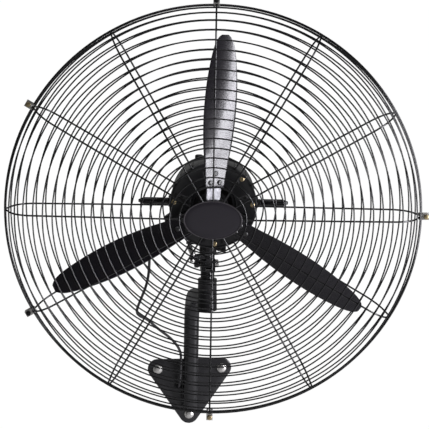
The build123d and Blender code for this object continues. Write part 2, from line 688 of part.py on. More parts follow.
# ---- Neck and post ---------------------------------------------------------------------------------
def neck_block():
    """Casting between tilt and swing: tongue below, bore for the pivot pin, link arm."""
    eye = Pos(*ANCHOR_SPOT) * Circle(6.0)
    outline = make_hull((Sketch() + Circle(9.0) + eye).edges())
    block = Pos(0, 0, BLOCK_BOTTOM) * extrude(outline, NECK_BLOCK)
    block += rod(POST_RADIUS, BLOCK_BOTTOM, BLOCK_TOP)
    tongue_round = Pos(0, 0, -TILT_DROP) * SIDEWAYS * rod(EAR_RADIUS, -TONGUE / 2, TONGUE / 2)
    riser = Box(TONGUE, 2 * EAR_RADIUS, BLOCK_BOTTOM + 1 + TILT_DROP)
    riser = Pos(0, 0, (BLOCK_BOTTOM + 1 - TILT_DROP) / 2) * riser
    block += tongue_round + riser
    block -= Pos(0, 0, -TILT_DROP) * SIDEWAYS * rod(TILT_BOLT + RUN, -TONGUE, TONGUE)
    block -= rod(PIVOT_PIN + SLIP, BLOCK_BOTTOM + 1, BLOCK_TOP)
    return block - Pos(*ANCHOR_SPOT) * rod(LINK_PIN + SLIP, BLOCK_BOTTOM, BLOCK_TOP)


def pivot_pin():
    """Upright pin that the head swings on."""
    return chamfer(rod(PIVOT_PIN, BLOCK_BOTTOM + 1, -PIVOT_TOP).edges().sort_by(Axis.Z)[-1], 1.0)


def thrust_washer():
    return rod(POST_RADIUS, BLOCK_TOP, BLOCK_TOP + THRUST_WASHER, hole=PIVOT_PIN + SLIP)


def pivot_bush():
    """Bronze bush pressed in the head's boss."""
    bush = rod(BUSH_RADIUS, BOSS_BOTTOM, -PIVOT_TOP + 2, hole=PIVOT_PIN + RUN)
    return bush - Pos(0, 0, BOSS_BOTTOM + 8) * SIDEWAYS * rod(3.0 + RUN, 0, BUSH_RADIUS)


def link_pin():
    """Shoulder pin through the link's eye and the neck's arm, nutted underneath."""
    head = rod(5.2, LINK_TOP + CLEAR, LINK_TOP + CLEAR + 2.5)
    shank = rod(LINK_PIN, BLOCK_BOTTOM - 4.4, LINK_TOP + CLEAR + 0.1)
    nut = hexagon(8.6, BLOCK_BOTTOM - 4.4, BLOCK_BOTTOM)
    return Pos(*ANCHOR_SPOT) * (head + shank + nut)


def swing_lock():
    """Thumb screw in the boss, with a lobed head; it stops just short of the pivot."""
    end = BOSS_RADIUS + 17.0
    grip = Sketch() + Circle(4.2)
    for lobe in range(5):
        grip += Rot(0, 0, 72 * lobe) * Pos(4.8, 0) * Circle(2.1)
    stem = rod(3.0, PIVOT_PIN + CLEAR, end - 5) + rod(4.4, BOSS_RADIUS + 1.5, end - 8)
    return Pos(0, 0, BOSS_BOTTOM + 8) * SIDEWAYS * (Pos(0, 0, end - 8) * extrude(grip, 8) + stem)


def post():
    """Steel post: a fork on top for the tilting tongue, a round stem in the socket."""
    slot_floor = -TILT_DROP - EAR_RADIUS - 1.0
    stem = rod(POST_RADIUS, SOCKET_TOP - SOCKET_HEIGHT + 8 - HEAD_HEIGHT, slot_floor - 1)
    fork = SIDEWAYS * rod(EAR_RADIUS, -POST_RADIUS, POST_RADIUS)
    fork = Pos(0, 0, -TILT_DROP) * fork
    fork += Pos(0, 0, -TILT_DROP - (EAR_RADIUS + 2) / 2) * Box(
        2 * POST_RADIUS, 2 * EAR_RADIUS, EAR_RADIUS + 2
    )
    fork -= Pos(0, 0, (slot_floor + BLOCK_TOP) / 2) * Box(
        TONGUE + 2 * 0.2, 3 * POST_RADIUS, BLOCK_TOP - slot_floor
    )
    fork -= Pos(0, 0, -TILT_DROP) * SIDEWAYS * rod(TILT_BOLT + SLIP, -20, 20)
    return stem + fork


def tilt_bolt():
    """Bolt on the tilt axis: hexagon head on the right, thread for the knob on the left."""
    seat = POST_RADIUS + 1.6
    return Pos(0, 0, -TILT_DROP) * SIDEWAYS * (
        rod(TILT_BOLT, -seat - 7.0, seat + 0.1) + hexagon(13.0, seat, seat + 5.3)
    )


def tilt_washer():
    one = SIDEWAYS * rod(8.0, POST_RADIUS + SLIP, POST_RADIUS + 1.6, hole=TILT_BOLT + SLIP)
    return Pos(0, 0, -TILT_DROP) * one


def tilt_knob():
    """Round knob whose thread pinches the fork; it is turned to free the tilt."""
    start, end = POST_RADIUS + 1.6 + CLEAR, POST_RADIUS + 12.0
    knob = turned((0, start), (5.5, start), (7.4, start + 3), (7.4, end - 2), (6.0, end), (0, end))
    knob -= rod(TILT_BOLT + RUN, start, POST_RADIUS + 1.6 + 7.0 + CLEAR)
    groove = Pos(8.2, 0, 0) * rod(1.6, start + 2.5, end)
    knob = bored(knob, [Rot(0, 0, 60 * i) * groove for i in range(6)])
    return Pos(0, 0, -TILT_DROP) * Rot(0, -90, 0) * knob


# ---- Wall bracket, in the row's own frame --------------------------------------------------------------
HOLE_SPOTS = (
    (-PLATE_HOLES_WIDE / 2, PLATE_HOLES_HIGH / 2),
    (PLATE_HOLES_WIDE / 2, PLATE_HOLES_HIGH / 2),
    (0.0, -PLATE_HOLES_HIGH / 2),
)
FORWARD = Rot(90, 0, 0)  # turns a shape drawn round Z so that it points at the room


def wall_bracket():
    """Rounded triangular plate, swan-neck arm and tapered socket, welded into one."""
    corners = Sketch()
    for x, z in HOLE_SPOTS:
        corners += Pos(x, z) * Circle(PLATE_CORNER)
    plate = extrude(make_hull(corners.edges()), WALL_PLATE)
    plate = fillet(plate.faces().sort_by(Axis.Z)[-1].edges(), 1.5)
    for x, z in HOLE_SPOTS:
        plate -= Pos(x, z) * rod(SLEEVE + 0.5, 0, WALL_PLATE)  # the sleeve passes through
    plate -= Pos(*GROMMET_SPOT) * rod(CABLE / 2 + 2.2 + SLIP, 0, WALL_PLATE)
    socket_middle = SOCKET_TOP - SOCKET_HEIGHT * 0.58
    line = FilletPolyline(
        (0, -ARM_STAND_OFF + 1, ARM_FOOT),
        (0, -ARM_STAND_OFF - 4, ARM_KNEE),
        (0, -REACH + 6, socket_middle),
        radius=ARM_BEND,
    )
    section = Plane(origin=line @ 0, x_dir=(1, 0, 0), z_dir=line % 0)
    arm = sweep(section * RectangleRounded(ARM_SIZE, ARM_SIZE, ARM_CORNER), path=line)
    cone = turned(
        (0, SOCKET_TOP - SOCKET_HEIGHT),
        (SOCKET_BOTTOM_RADIUS, SOCKET_TOP - SOCKET_HEIGHT),
        (SOCKET_TOP_RADIUS, SOCKET_TOP),
        (0, SOCKET_TOP),
    )
    socket = Pos(0, -REACH, 0) * cone
    bore = rod(POST_RADIUS + RUN, SOCKET_TOP - SOCKET_HEIGHT + 8, SOCKET_TOP)
    drain = rod(5.0, SOCKET_TOP - SOCKET_HEIGHT, SOCKET_TOP - SOCKET_HEIGHT + 8)
    screw_hole = Pos(0, 0, socket_screw_height()) * SIDEWAYS * rod(4.0 + SLIP, POST_RADIUS, 25)
    bracket = FORWARD * plate + arm + socket
    return bracket - Pos(0, -REACH, 0) * (bore + drain + screw_hole)


def socket_screw_height():
    return SOCKET_TOP - 20.0


def socket_screw():
    """Set screw that holds the post in the socket, flush with the socket's right side."""
    screw = SIDEWAYS * rod(4.0, POST_RADIUS + SLIP, SOCKET_TOP_RADIUS)
    return Pos(0, -REACH, socket_screw_height()) * screw


def anchor_bolt():
    """Wall bolt: hexagon head and a plain shank that ends in its sleeve's cone."""
    seat = WALL_PLATE + 1.6
    cone_top = 4 - ANCHOR_DEPTH
    cone = turned((0, -ANCHOR_DEPTH), (SLEEVE, -ANCHOR_DEPTH), (ANCHOR, cone_top), (0, cone_top))
    shank = rod(ANCHOR, -ANCHOR_DEPTH, seat + 0.1)
    return FORWARD * (hexagon(13.0, seat, seat + 5.5) + shank + cone)


def anchor_sleeve():
    """Sleeve that the bolt spreads in the wall."""
    return FORWARD * rod(SLEEVE, 4 + SLIP - ANCHOR_DEPTH, -1.0, hole=ANCHOR + SLIP)


def anchor_washer():
    return FORWARD * rod(9.0, WALL_PLATE + SLIP, WALL_PLATE + 1.6, hole=ANCHOR + SLIP)


# ---- Cable --------------------------------------------------------------------------------------------
def gland_frame():
    """On the terminal box: Z outwards along the gland, in the fan's axial frame."""
    return Rot(0, 0, GLAND_ANGLE - 90) * Rot(-90, 0, 0)


BOX_OUT = MOTOR_RADIUS + BOX_DEPTH


def terminal_box():
    """Small cast box on the rear cover's lower left, where the cable comes in."""
    axial_middle = SHELL_REAR - 7.0
    box = Pos(0, -axial_middle, MOTOR_RADIUS - 8) * extrude(RectangleRounded(34, 13, 4), BOX_DEPTH + 8)
    box = gland_frame() * box
    box -= rod(MOTOR_RADIUS + SLIP, SHIELD_BACK - 5, SHELL_FRONT)
    bore = gland_frame() * Pos(0, -axial_middle, 0) * rod(4.6, BOX_OUT - 8, BOX_OUT)
    return box - bore


def cable_gland():
    """Screwed gland with a hexagon and a rounded cap, which the cable comes out of."""
    body = rod(4.6 - SLIP, BOX_OUT - 8, BOX_OUT + 0.1) + hexagon(13.0, BOX_OUT + SLIP, BOX_OUT + 5)
    end = BOX_OUT + GLAND_LENGTH
    cap = turned((0, BOX_OUT + 5), (6.0, BOX_OUT + 5), (6.0, BOX_OUT + 9), (4.0, end), (0, end))
    gland = body + cap - rod(CABLE / 2 + 0.2, BOX_OUT - 8, end)
    return gland_frame() * Pos(0, -(SHELL_REAR - 7.0), 0) * gland


def grommet():
    """Rubber bush in the plate where the cable goes back into the wall."""
    hole = CABLE / 2 + 0.2
    bush = turned(
        (hole, 0.5),
        (CABLE / 2 + 2.2, 0.5),
        (CABLE / 2 + 2.2, WALL_PLATE + SLIP),
        (CABLE / 2 + 4.2, WALL_PLATE + SLIP),
        (CABLE / 2 + 3.4, WALL_PLATE + 4),
        (hole, WALL_PLATE + 4),
    )
    return Pos(GROMMET_SPOT[0], 0, GROMMET_SPOT[1]) * FORWARD * bush


GLAND_SHIFT = MOTOR_RADIUS - 74.0  # the cable starts further out on a larger motor
GLAND_WAY = (-0.811, 0.114, -0.574)


def hung(x, y, z, gland=0.0):
    """A point of the route that moves with the head, and so with the reach and height."""
    out = [gland * way for way in GLAND_WAY]
    return x + out[0], y + 235.0 - REACH + out[1], z + HEAD_HEIGHT - 438.0 + out[2]


UPPER_ROUTE = [
    hung(-78.0, -235.2, 378.3, GLAND_SHIFT),
    hung(-94.2, -232.9, 366.9, GLAND_SHIFT),
    hung(-103.9, -235.4, 348.4, GLAND_SHIFT),
    hung(-106.2, -237.5, 328.5),
    hung(-106.4, -237.0, 309.0),
    hung(-107.3, -234.5, 289.5),
    hung(-110.5, -228.0, 268.5),
    hung(-117.0, -217.5, 246.0),
    hung(-121.79, -205.25, 227.36),
]
LOWER_ROUTE = [
    hung(-121.79, -205.25, 227.36),
    hung(-125.4, -196.0, 213.3),
    hung(-118.8, -184.8, 200.9),
    hung(-101.9, -172.0, 191.3),
    (-79.5, -143.0, 165.0),
    (-49.8, -104.0, 135.2),
    (-36.6, -80.0, 116.5),
    (-27.9, -62.0, 101.4),
    (-22.5, -49.0, 85.0),
    (-22.0, -41.0, 61.0),
    (-22.4, -38.1, 41.1),
    (-22.8, -34.0, 26.7),
    (-23.0, -25.5, 16.9),
    (-23.0, -14.5, 12.0),
    (-23.0, -4.5, 12.0),
]


def corner_radius(before, corner, after):
    """0.45 of the shorter run beside a corner, over the tangent of half its turn."""
    first, second = Vector(*corner) - Vector(*before), Vector(*after) - Vector(*corner)
    half_turn = radians(first.get_angle(second)) / 2
    return 0.45 * min(first.length, second.length) * cos(half_turn) / sin(half_turn)


def cable(name, route):
    """Round cable along straight runs joined by the largest arcs that fit."""
    radii = [corner_radius(*route[i : i + 3]) for i in range(len(route) - 2)]
    line = FilletPolyline(*route, radius=radii)
    tube = sweep(Plane(origin=line @ 0, z_dir=line % 0) * Circle(CABLE / 2), path=line)
    print(name, "length", round(line.length, 1), "radii", [round(r, 1) for r in radii])
    share = tube.volume / (line.length * 3.14159 * CABLE**2 / 4)
    print("  volume over section times length", round(share, 4))
    return tube


# ---- All pieces -------------------------------------------------------------------------------------------
parts["wall_bracket"] = wall_bracket()
parts["anchor_bolts"] = group([Pos(x, 0, z) * anchor_bolt() for x, z in HOLE_SPOTS])
parts["anchor_sleeves"] = group([Pos(x, 0, z) * anchor_sleeve() for x, z in HOLE_SPOTS])
parts["anchor_washers"] = group([Pos(x, 0, z) * anchor_washer() for x, z in HOLE_SPOTS])
parts["socket_screw"] = socket_screw()
parts["cable_grommet"] = grommet()

parts["post"] = BRACKET_TOP * post()
parts["tilt_bolt"] = BRACKET_TOP * tilt_bolt()
parts["tilt_washers"] = BRACKET_TOP * group([tilt_washer(), mirror(tilt_washer(), about=Plane.YZ)])
parts["tilt_knob"] = BRACKET_TOP * tilt_knob()
parts["neck_block"] = BRACKET_TOP * neck_block()
parts["pivot_pin"] = BRACKET_TOP * pivot_pin()
parts["thrust_washer"] = BRACKET_TOP * thrust_washer()
parts["link_pin"] = BRACKET_TOP * link_pin()
parts["link_strap"] = BRACKET_TOP * link_strap()

parts["rear_shield"] = HEAD * rear_shield()
parts["pivot_bush"] = HEAD * pivot_bush()
parts["swing_lock_screw"] = HEAD * swing_lock()
parts["gearbox_housing"] = HEAD * gearbox_housing()
parts["gearbox_cover"] = HEAD * gearbox_cover()
parts["cover_screws"] = HEAD * group([spot * cover_screw() for spot in cover_spots()])
drive = HEAD * Pos(DRIVE_X, DRIVE_BACK, 0)
parts["drive_wheel"] = drive * drive_wheel()
parts["crank"] = drive * crank()
parts["clutch_knob"] = drive * clutch_knob()

parts["motor_shell"] = FAN * motor_shell()
parts["front_shield"] = FAN * front_shield()
parts["tie_bolts"] = FAN * group(clockwise(tie_bolt(), tie_angles(), TIE_RING))
parts["stator_core"] = FAN * stator_core()
parts["stator_windings"] = FAN * group(
    [
        stator_winding(SHELL_REAR + 2, SHELL_REAR + 12 - SLIP),
        stator_winding(SHELL_FRONT - 12 + SLIP, SHELL_FRONT - 2),
    ]
)
parts["front_bearing"] = FAN * bearing(MOTOR_FACE - 2.0 - SLIP - BEARING_WIDTH)
parts["rear_bearing"] = FAN * bearing(bearing_rear() + SLIP)
parts["rotor_core"] = FAN * rotor_core()
parts["motor_shaft"] = FAN * motor_shaft()
parts["worm"] = FAN * worm()
parts["horn_handles"] = FAN * group(clockwise(horn_handle(), (90, 270)))
parts["terminal_box"] = FAN * terminal_box()
parts["cable_gland"] = FAN * cable_gland()

parts["fan_hub"] = FAN * fan_hub()
parts["hub_nut"] = FAN * hub_nut()
one_blade = blade()
for number, angle in enumerate(blade_angles(), 1):
    parts[f"blade_{number}"] = FAN * clockwise(one_blade, [angle])[0]
screws = group([root_frame() * Pos(x, y, 0) * blade_screw() for x, y in SCREW_SPOTS])
parts["blade_screws"] = FAN * group(clockwise(screws, blade_angles()))

parts["rear_guard"] = FAN * rear_guard()
parts["guard_plate"] = FAN * guard_plate()
parts["plate_screws"] = FAN * group(clockwise(plate_screw(), PLATE_SCREW_ANGLES, PLATE_SCREW_RING))
parts["front_guard"] = FAN * front_guard()
parts["rim_clips"] = FAN * group(clockwise(clip(), CLIP_ANGLES))
parts["clip_bolts"] = FAN * group(clockwise(clip_bolt(), CLIP_ANGLES, CAGE_RADIUS + 7))
parts["clip_nuts"] = FAN * group(clockwise(clip_nut(), CLIP_ANGLES, CAGE_RADIUS + 7))
parts["badge_plate"] = FAN * badge_plate()
parts["badge_clamp"] = FAN * badge_clamp()
parts["badge_screws"] = FAN * group([Pos(side * 9, 0, 0) * badge_screw() for side in (-1, 1)])

parts["cable_upper"] = cable("upper cable", UPPER_ROUTE)
parts["cable_lower"] = cable("lower cable", LOWER_ROUTE)

os.makedirs("parts", exist_ok=True)
for name, shape in parts.items():
    export_step(shape, f"parts/{name}.step")
print(len(parts), "pieces written")
print("anchor pin", ANCHOR_SPOT, "link", link_turn(), "crank", crank_turn())
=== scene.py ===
from math import atan2, cos, pi, radians, sin, tan

import bpy
from mathutils import Matrix, Vector


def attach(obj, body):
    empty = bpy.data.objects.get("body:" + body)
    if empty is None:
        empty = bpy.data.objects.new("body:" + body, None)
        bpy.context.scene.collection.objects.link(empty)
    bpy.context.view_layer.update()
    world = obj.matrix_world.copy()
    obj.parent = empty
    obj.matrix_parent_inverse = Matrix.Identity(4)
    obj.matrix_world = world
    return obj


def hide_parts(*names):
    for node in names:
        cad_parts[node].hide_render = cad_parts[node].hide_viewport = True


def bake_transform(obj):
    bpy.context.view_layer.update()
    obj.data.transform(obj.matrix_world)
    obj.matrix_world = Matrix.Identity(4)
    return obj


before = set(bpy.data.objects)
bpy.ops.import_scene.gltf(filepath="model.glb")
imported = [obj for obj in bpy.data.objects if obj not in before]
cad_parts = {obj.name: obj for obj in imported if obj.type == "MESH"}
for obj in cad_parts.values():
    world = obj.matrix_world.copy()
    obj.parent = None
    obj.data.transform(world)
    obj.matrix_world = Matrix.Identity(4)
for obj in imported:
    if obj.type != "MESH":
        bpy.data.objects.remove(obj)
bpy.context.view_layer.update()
bpy.context.scene.view_settings.view_transform = "Standard"

# ---- Camera ----
# The photograph looks slightly down on the cage from the left, from far away, with the
# head a degree out of level.  It is aimed at the middle of the rim.
MM = 0.001
IMAGE_WIDTH = 429
REACH, HEAD_HEIGHT, PIVOT_OFFSET, RIM_FORWARD = 235.0, 438.0, 8.0, 158.0
SWING_AT_REST = -8
FOCAL_PIXELS, CAMERA_DISTANCE, PICTURE_SHIFT = 2090, 3600, (1.5, -2.0)
PHOTO_AZIMUTH, PHOTO_ELEVATION, PHOTO_ROLL = radians(-8), radians(12), radians(1)


def at(x=0.0, y=0.0, z=0.0):
    """The place of a point given in millimetres."""
    return Matrix.Translation((x * MM, y * MM, z * MM))


def turning(angle, axis="Z"):
    """A turn about an axis, in degrees."""
    return Matrix.Rotation(radians(angle), 4, axis)


swing_top = at(0, -REACH, HEAD_HEIGHT)
head_place = swing_top @ turning(SWING_AT_REST)
fan_place = head_place @ at(PIVOT_OFFSET) @ turning(90, "X")
aim = head_place @ (Vector((PIVOT_OFFSET, -RIM_FORWARD, 0)) * MM)
outward = Vector(
    (
        sin(PHOTO_AZIMUTH) * cos(PHOTO_ELEVATION),
        -cos(PHOTO_AZIMUTH) * cos(PHOTO_ELEVATION),
        sin(PHOTO_ELEVATION),
    )
)
bpy.ops.object.camera_add(location=aim + outward * CAMERA_DISTANCE * MM)
camera = bpy.context.object
camera.name = "photo_camera"
camera.rotation_mode = "QUATERNION"
level_view = outward.to_track_quat("Z", "Y")
camera.rotation_quaternion = level_view @ Matrix.Rotation(PHOTO_ROLL, 3, "Z").to_quaternion()
camera.data.sensor_width = 36
camera.data.lens = FOCAL_PIXELS * camera.data.sensor_width / IMAGE_WIDTH
camera.data.shift_x = PICTURE_SHIFT[0] / IMAGE_WIDTH
camera.data.shift_y = PICTURE_SHIFT[1] / IMAGE_WIDTH
camera.data.clip_end = 50
bpy.context.scene.camera = camera


# ---- Floor, backdrop and lamps ----
# A pale floor well under the wall fan, and a white surround behind it.  A tall soft box on
# the right lights it, with a weak lamp above and a dim card low in front.
class Signal:
    """A socket in a shader sum; arithmetic on it adds Math nodes to its tree."""

    def __init__(self, tree, socket=None):
        self.tree = tree
        self.socket = socket

    def node(self, kind, settings, inputs, output=0):
        """Adds a node: its settings first, then the values or links of its sockets."""
        made = self.tree.nodes.new(kind)
        for name, setting in settings.items():
            setattr(made, name, setting)
        for name, value in inputs.items():
            if isinstance(value, Signal):
                self.tree.links.new(value.socket, made.inputs[name])
            else:
                made.inputs[name].default_value = value
        return Signal(self.tree, made.outputs[output])

    def math(self, operation, first, second=0.0):
        return self.node("ShaderNodeMath", {"operation": operation}, {0: first, 1: second})

    def __add__(self, other):
        return self.math("ADD", self, other)

    def __sub__(self, other):
        return self.math("SUBTRACT", self, other)

    def __rsub__(self, other):
        return self.math("SUBTRACT", other, self)

    def __mul__(self, other):
        return self.math("MULTIPLY", self, other)

    __radd__ = __add__
    __rmul__ = __mul__

    def noise(self, where, scale, detail, **more):
        """Noise at a place, from 0 to 1."""
        inputs = {"Vector": where, "Scale": scale, "Detail": detail, **more}
        return self.node("ShaderNodeTexNoise", {}, inputs, "Fac")

    def over(self, low, high):
        """0 below low and 1 above high."""
        limits = {"Value": self, "From Min": low, "From Max": high}
        return self.node("ShaderNodeMapRange", {"clamp": True}, limits)

    def between(self, first, second):
        """The mix of two colours by this signal."""
        colours = {0: self, 6: first, 7: second}
        return self.node("ShaderNodeMix", {"data_type": "RGBA"}, colours, 2)


def added(name, primitive, **measures):
    """Adds a primitive with nothing else selected, and names it."""
    bpy.ops.object.select_all(action="DESELECT")
    primitive(**measures)
    piece = bpy.context.object
    piece.name = name
    return piece


FLOOR_HEIGHT, FLOOR_SIZE = -0.75, 40
floor_spot = (0, 0, FLOOR_HEIGHT)
floor = added("studio_floor", bpy.ops.mesh.primitive_plane_add, size=FLOOR_SIZE, location=floor_spot)
floor_paint = bpy.data.materials.new("pale_floor")
floor_paint.use_nodes = True
tree = Signal(floor_paint.node_tree)
surface = floor_paint.node_tree.nodes["Principled BSDF"]
surface.inputs["Base Color"].default_value = (0.45, 0.45, 0.45, 1)
surface.inputs["Roughness"].default_value = 0.9
shows_white = tree.node("ShaderNodeLightPath", {}, {})
glow = tree.node("ShaderNodeEmission", {}, {"Color": (1, 1, 1, 1), "Strength": 1.03})
veiled = tree.node(
    "ShaderNodeMixShader",
    {},
    {0: shows_white * 0.98, 1: Signal(tree.tree, surface.outputs[0]), 2: glow},
)
output = floor_paint.node_tree.nodes["Material Output"]
floor_paint.node_tree.links.new(veiled.socket, output.inputs["Surface"])
floor.data.materials.append(floor_paint)

world = bpy.data.worlds.new("studio")
world.use_nodes = True
bpy.context.scene.world = world
tree = Signal(world.node_tree)
path_kind = tree.node("ShaderNodeLightPath", {}, {})
sky_way = tree.node("ShaderNodeTexCoord", {}, {}, 0)
behind = tree.node("ShaderNodeSeparateXYZ", {}, {0: sky_way}, 1)
mirrored = Signal(world.node_tree, path_kind.socket.node.outputs["Is Glossy Ray"])
surround = 0.24 - mirrored * (0.18 - behind.over(0.2, 0.8) * 0.1)
seen = path_kind.math("MAXIMUM", path_kind, surround)
backdrop = world.node_tree.nodes["Background"]
backdrop.inputs["Color"].default_value = (1, 1, 1, 1)
world.node_tree.links.new(seen.socket, backdrop.inputs["Strength"])

LAMPS = (  # name, place, width, height, power
    ("soft_box", (1.93, -1.8, 0.5), 0.85, 1.9, 112),
    ("top_lamp", (-0.3, -0.8, 2.7), 1.6, 1.6, 11),
    ("low_card", (-0.38, -2.96, -0.1), 1.0, 0.8, 0.8),
)
for name, place, width, height, power in LAMPS:
    bpy.ops.object.light_add(type="AREA", location=place)
    lamp = bpy.context.object
    lamp.name = name
    lamp.data.shape = "RECTANGLE"
    lamp.data.size = width
    lamp.data.size_y = height
    lamp.data.energy = power
    lamp.data.color = (0.95, 0.94, 1.0)
    lamp.rotation_mode = "QUATERNION"
    lamp.rotation_quaternion = (Vector(place) - aim).to_track_quat("Z", "Y")


# ---- Power cable ----
# Round black rubber-sheathed lead, 5 mm thick.  It leaves the gland behind the left blade,
# hangs in front of the arm's left side, turns back and goes into the plate's grommet.
def picked(piece):
    """Selects a piece alone and makes it the active one."""
    bpy.ops.object.select_all(action="DESELECT")
    piece.select_set(True)
    bpy.context.view_layer.objects.active = piece


def opened():
    """Edit mode, with all of the active piece selected."""
    bpy.ops.object.mode_set(mode="EDIT")
    bpy.ops.mesh.select_all(action="SELECT")


def closed_up():
    """Merges what lies together, turns the faces outwards and goes back to object mode."""
    opened()
    bpy.ops.mesh.remove_doubles(threshold=1e-6)
    bpy.ops.mesh.normals_make_consistent(inside=False)
    bpy.ops.object.mode_set(mode="OBJECT")


def new_finish(name):
    """A new material, the start of its shader sums and its Object coordinates."""
    finish = bpy.data.materials.new(name)
    finish.use_nodes = True
    tree = Signal(finish.node_tree)
    return finish, tree, tree.node("ShaderNodeTexCoord", {}, {}, "Object")


def finished(finish, colour, roughness, height, strength, depth, fixed=()):
    """Links a finish's colour, roughness and bumps, and sets what stays the same all over."""
    surface = finish.node_tree.nodes["Principled BSDF"]
    bumps = {"Height": height, "Strength": strength, "Distance": depth * MM}
    normal = height.node("ShaderNodeBump", {}, bumps)
    for name, value in (("Base Color", colour), ("Roughness", roughness), ("Normal", normal)):
        finish.node_tree.links.new(value.socket, surface.inputs[name])
    for name, value in fixed:
        surface.inputs[name].default_value = value
    return finish


def nurbs_line(name, route, steps, swells=None):
    """A smooth line on its control points, given in millimetres."""
    line = bpy.data.curves.new(name, "CURVE")
    line.dimensions = "3D"
    spline = line.splines.new("NURBS")
    spline.points.add(len(route) - 1)
    for point, place, swell in zip(spline.points, route, swells or [1.0] * len(route)):
        point.co = (*(value * MM for value in place), 1)
        point.radius = swell
    spline.order_u = 3
    spline.use_endpoint_u = True
    spline.resolution_u = steps
    drawn = bpy.data.objects.new(name, line)
    bpy.context.scene.collection.objects.link(drawn)
    return drawn


def thickened(drawn, radius, rounding):
    """Gives a line its round section and closes its ends."""
    drawn.data.bevel_depth = radius * MM
    drawn.data.bevel_resolution = rounding
    drawn.data.use_fill_caps = True


def drawn_cable(name, route):
    """A lead along a smooth line, given its round section and the rubber finish."""
    lead = nurbs_line(name, route, 10)
    middle_line = [tuple(vertex.co) for vertex in bpy.data.meshes.new_from_object(lead).vertices]
    thickened(lead, CABLE / 2, 4)
    picked(lead)
    bpy.ops.object.convert(target="MESH")
    closed_up()
    bpy.ops.object.shade_smooth_by_angle(angle=radians(40))
    lead.data.materials.clear()
    lead.data.materials.append(rubber_sheath)
    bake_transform(lead)
    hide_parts(name.replace("_lead", ""))


CABLE = 5.0
rubber_sheath, tree, where = new_finish("rubber_sheath")
grain, dusty = tree.noise(where, 900.0, 3.0), tree.noise(where, 35.0, 4.0)
shade = dusty.over(0.35, 0.75).between((0.010, 0.010, 0.011, 1), (0.026, 0.025, 0.026, 1))
finished(rubber_sheath, shade, 0.42 + grain * 0.2, grain, 0.15, 0.4)

upper_route = [
    (-78.0, -235.2, 378.3),
    (-94.2, -232.9, 366.9),
    (-103.9, -235.4, 348.4),
    (-106.2, -237.5, 328.5),
    (-106.4, -237.0, 309.0),
    (-107.3, -234.5, 289.5),
    (-110.5, -228.0, 268.5),
    (-117.0, -217.5, 246.0),
    (-121.79, -205.25, 227.36),
]
lower_route = [
    (-121.79, -205.25, 227.36),
    (-125.4, -196.0, 213.3),
    (-118.8, -184.8, 200.9),
    (-101.9, -172.0, 191.3),
    (-79.5, -143.0, 165.0),
    (-49.8, -104.0, 135.2),
    (-36.6, -80.0, 116.5),
    (-27.9, -62.0, 101.4),
    (-22.5, -49.0, 85.0),
    (-22.0, -41.0, 61.0),
    (-22.4, -38.1, 41.1),
    (-22.8, -34.0, 26.7),
    (-23.0, -25.5, 16.9),
    (-23.0, -14.5, 12.0),
    (-23.0, -4.5, 12.0),
]
drawn_cable("cable_upper_lead", upper_route)
drawn_cable("cable_lower_lead", lower_route)


# ---- Wall bracket ----
# Pressed steel plate, a swan-neck arm of rounded square tube and a tapered socket, welded
# together and powder coated glossy black in one go.  Three bolts hold it to the wall.
def black_coat(name, colour, roughness, peel, peel_depth, dust):
    """Powder coat or paint on metal: orange peel, uneven gloss and dust lying on top."""
    coat, tree, where = new_finish(name)
    skin = tree.noise(where, peel, 2.0, Roughness=0.45)
    clouds = tree.noise(where, 11.0, 5.0, Roughness=0.6)
    specks = tree.noise(where, 1400.0, 1.0).over(0.66, 0.8)
    facing = tree.node("ShaderNodeNewGeometry", {}, {}, "Normal")
    upward = tree.node("ShaderNodeSeparateXYZ", {}, {0: facing}, "Z").over(0.35, 1.0)
    dusty = (upward * clouds.over(0.35, 0.7) * 0.7 + specks * 0.3) * dust
    darker = tuple(value * 0.72 for value in colour)
    paint = clouds.over(0.3, 0.7).between((*darker, 1), (*colour, 1))
    paint = dusty.between(paint, (0.16, 0.155, 0.15, 1))
    gloss = roughness - 0.05 + clouds * 0.1 + dusty * 0.35
    lacquer = (("Coat Weight", 0.25), ("Coat Roughness", 0.12))
    return finished(coat, paint, gloss, skin, 1.0, peel_depth, lacquer)


IN_PLACE = Matrix.Identity(4)
EDGE_ANGLE = radians(38)


def placed(piece, place):
    """Moves the selected piece and keeps the move in its mesh."""
    piece.matrix_world = place @ piece.matrix_world
    bpy.ops.object.transform_apply(location=True, rotation=True, scale=True)
    return piece


def settled(piece, place=IN_PLACE, width=0.0, segments=2):
    """Rounds the edges of a finished mesh, smooths it and puts it in its place."""
    picked(piece)
    if width:
        rounding = piece.modifiers.new("edges", "BEVEL")
        rounding.width = width * MM
        rounding.segments = segments
        rounding.angle_limit = EDGE_ANGLE
        rounding.harden_normals = False
        bpy.ops.object.modifier_apply(modifier=rounding.name)
    bpy.ops.object.shade_smooth_by_angle(angle=EDGE_ANGLE)
    return placed(piece, place)


def rides(piece, body, slot, finish, *nodes):
    """Gives a piece its finish and its body, and hides the CAD nodes that it stands for."""
    piece.data.materials.clear()
    piece.data.materials.append(finish)
    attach(piece, body)
    if nodes:
        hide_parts(*nodes)
    return piece


def drawn_out(way):
    """Extrudes all that is selected along a way."""
    bpy.ops.mesh.extrude_region_move(TRANSFORM_OT_translate={"value": way})


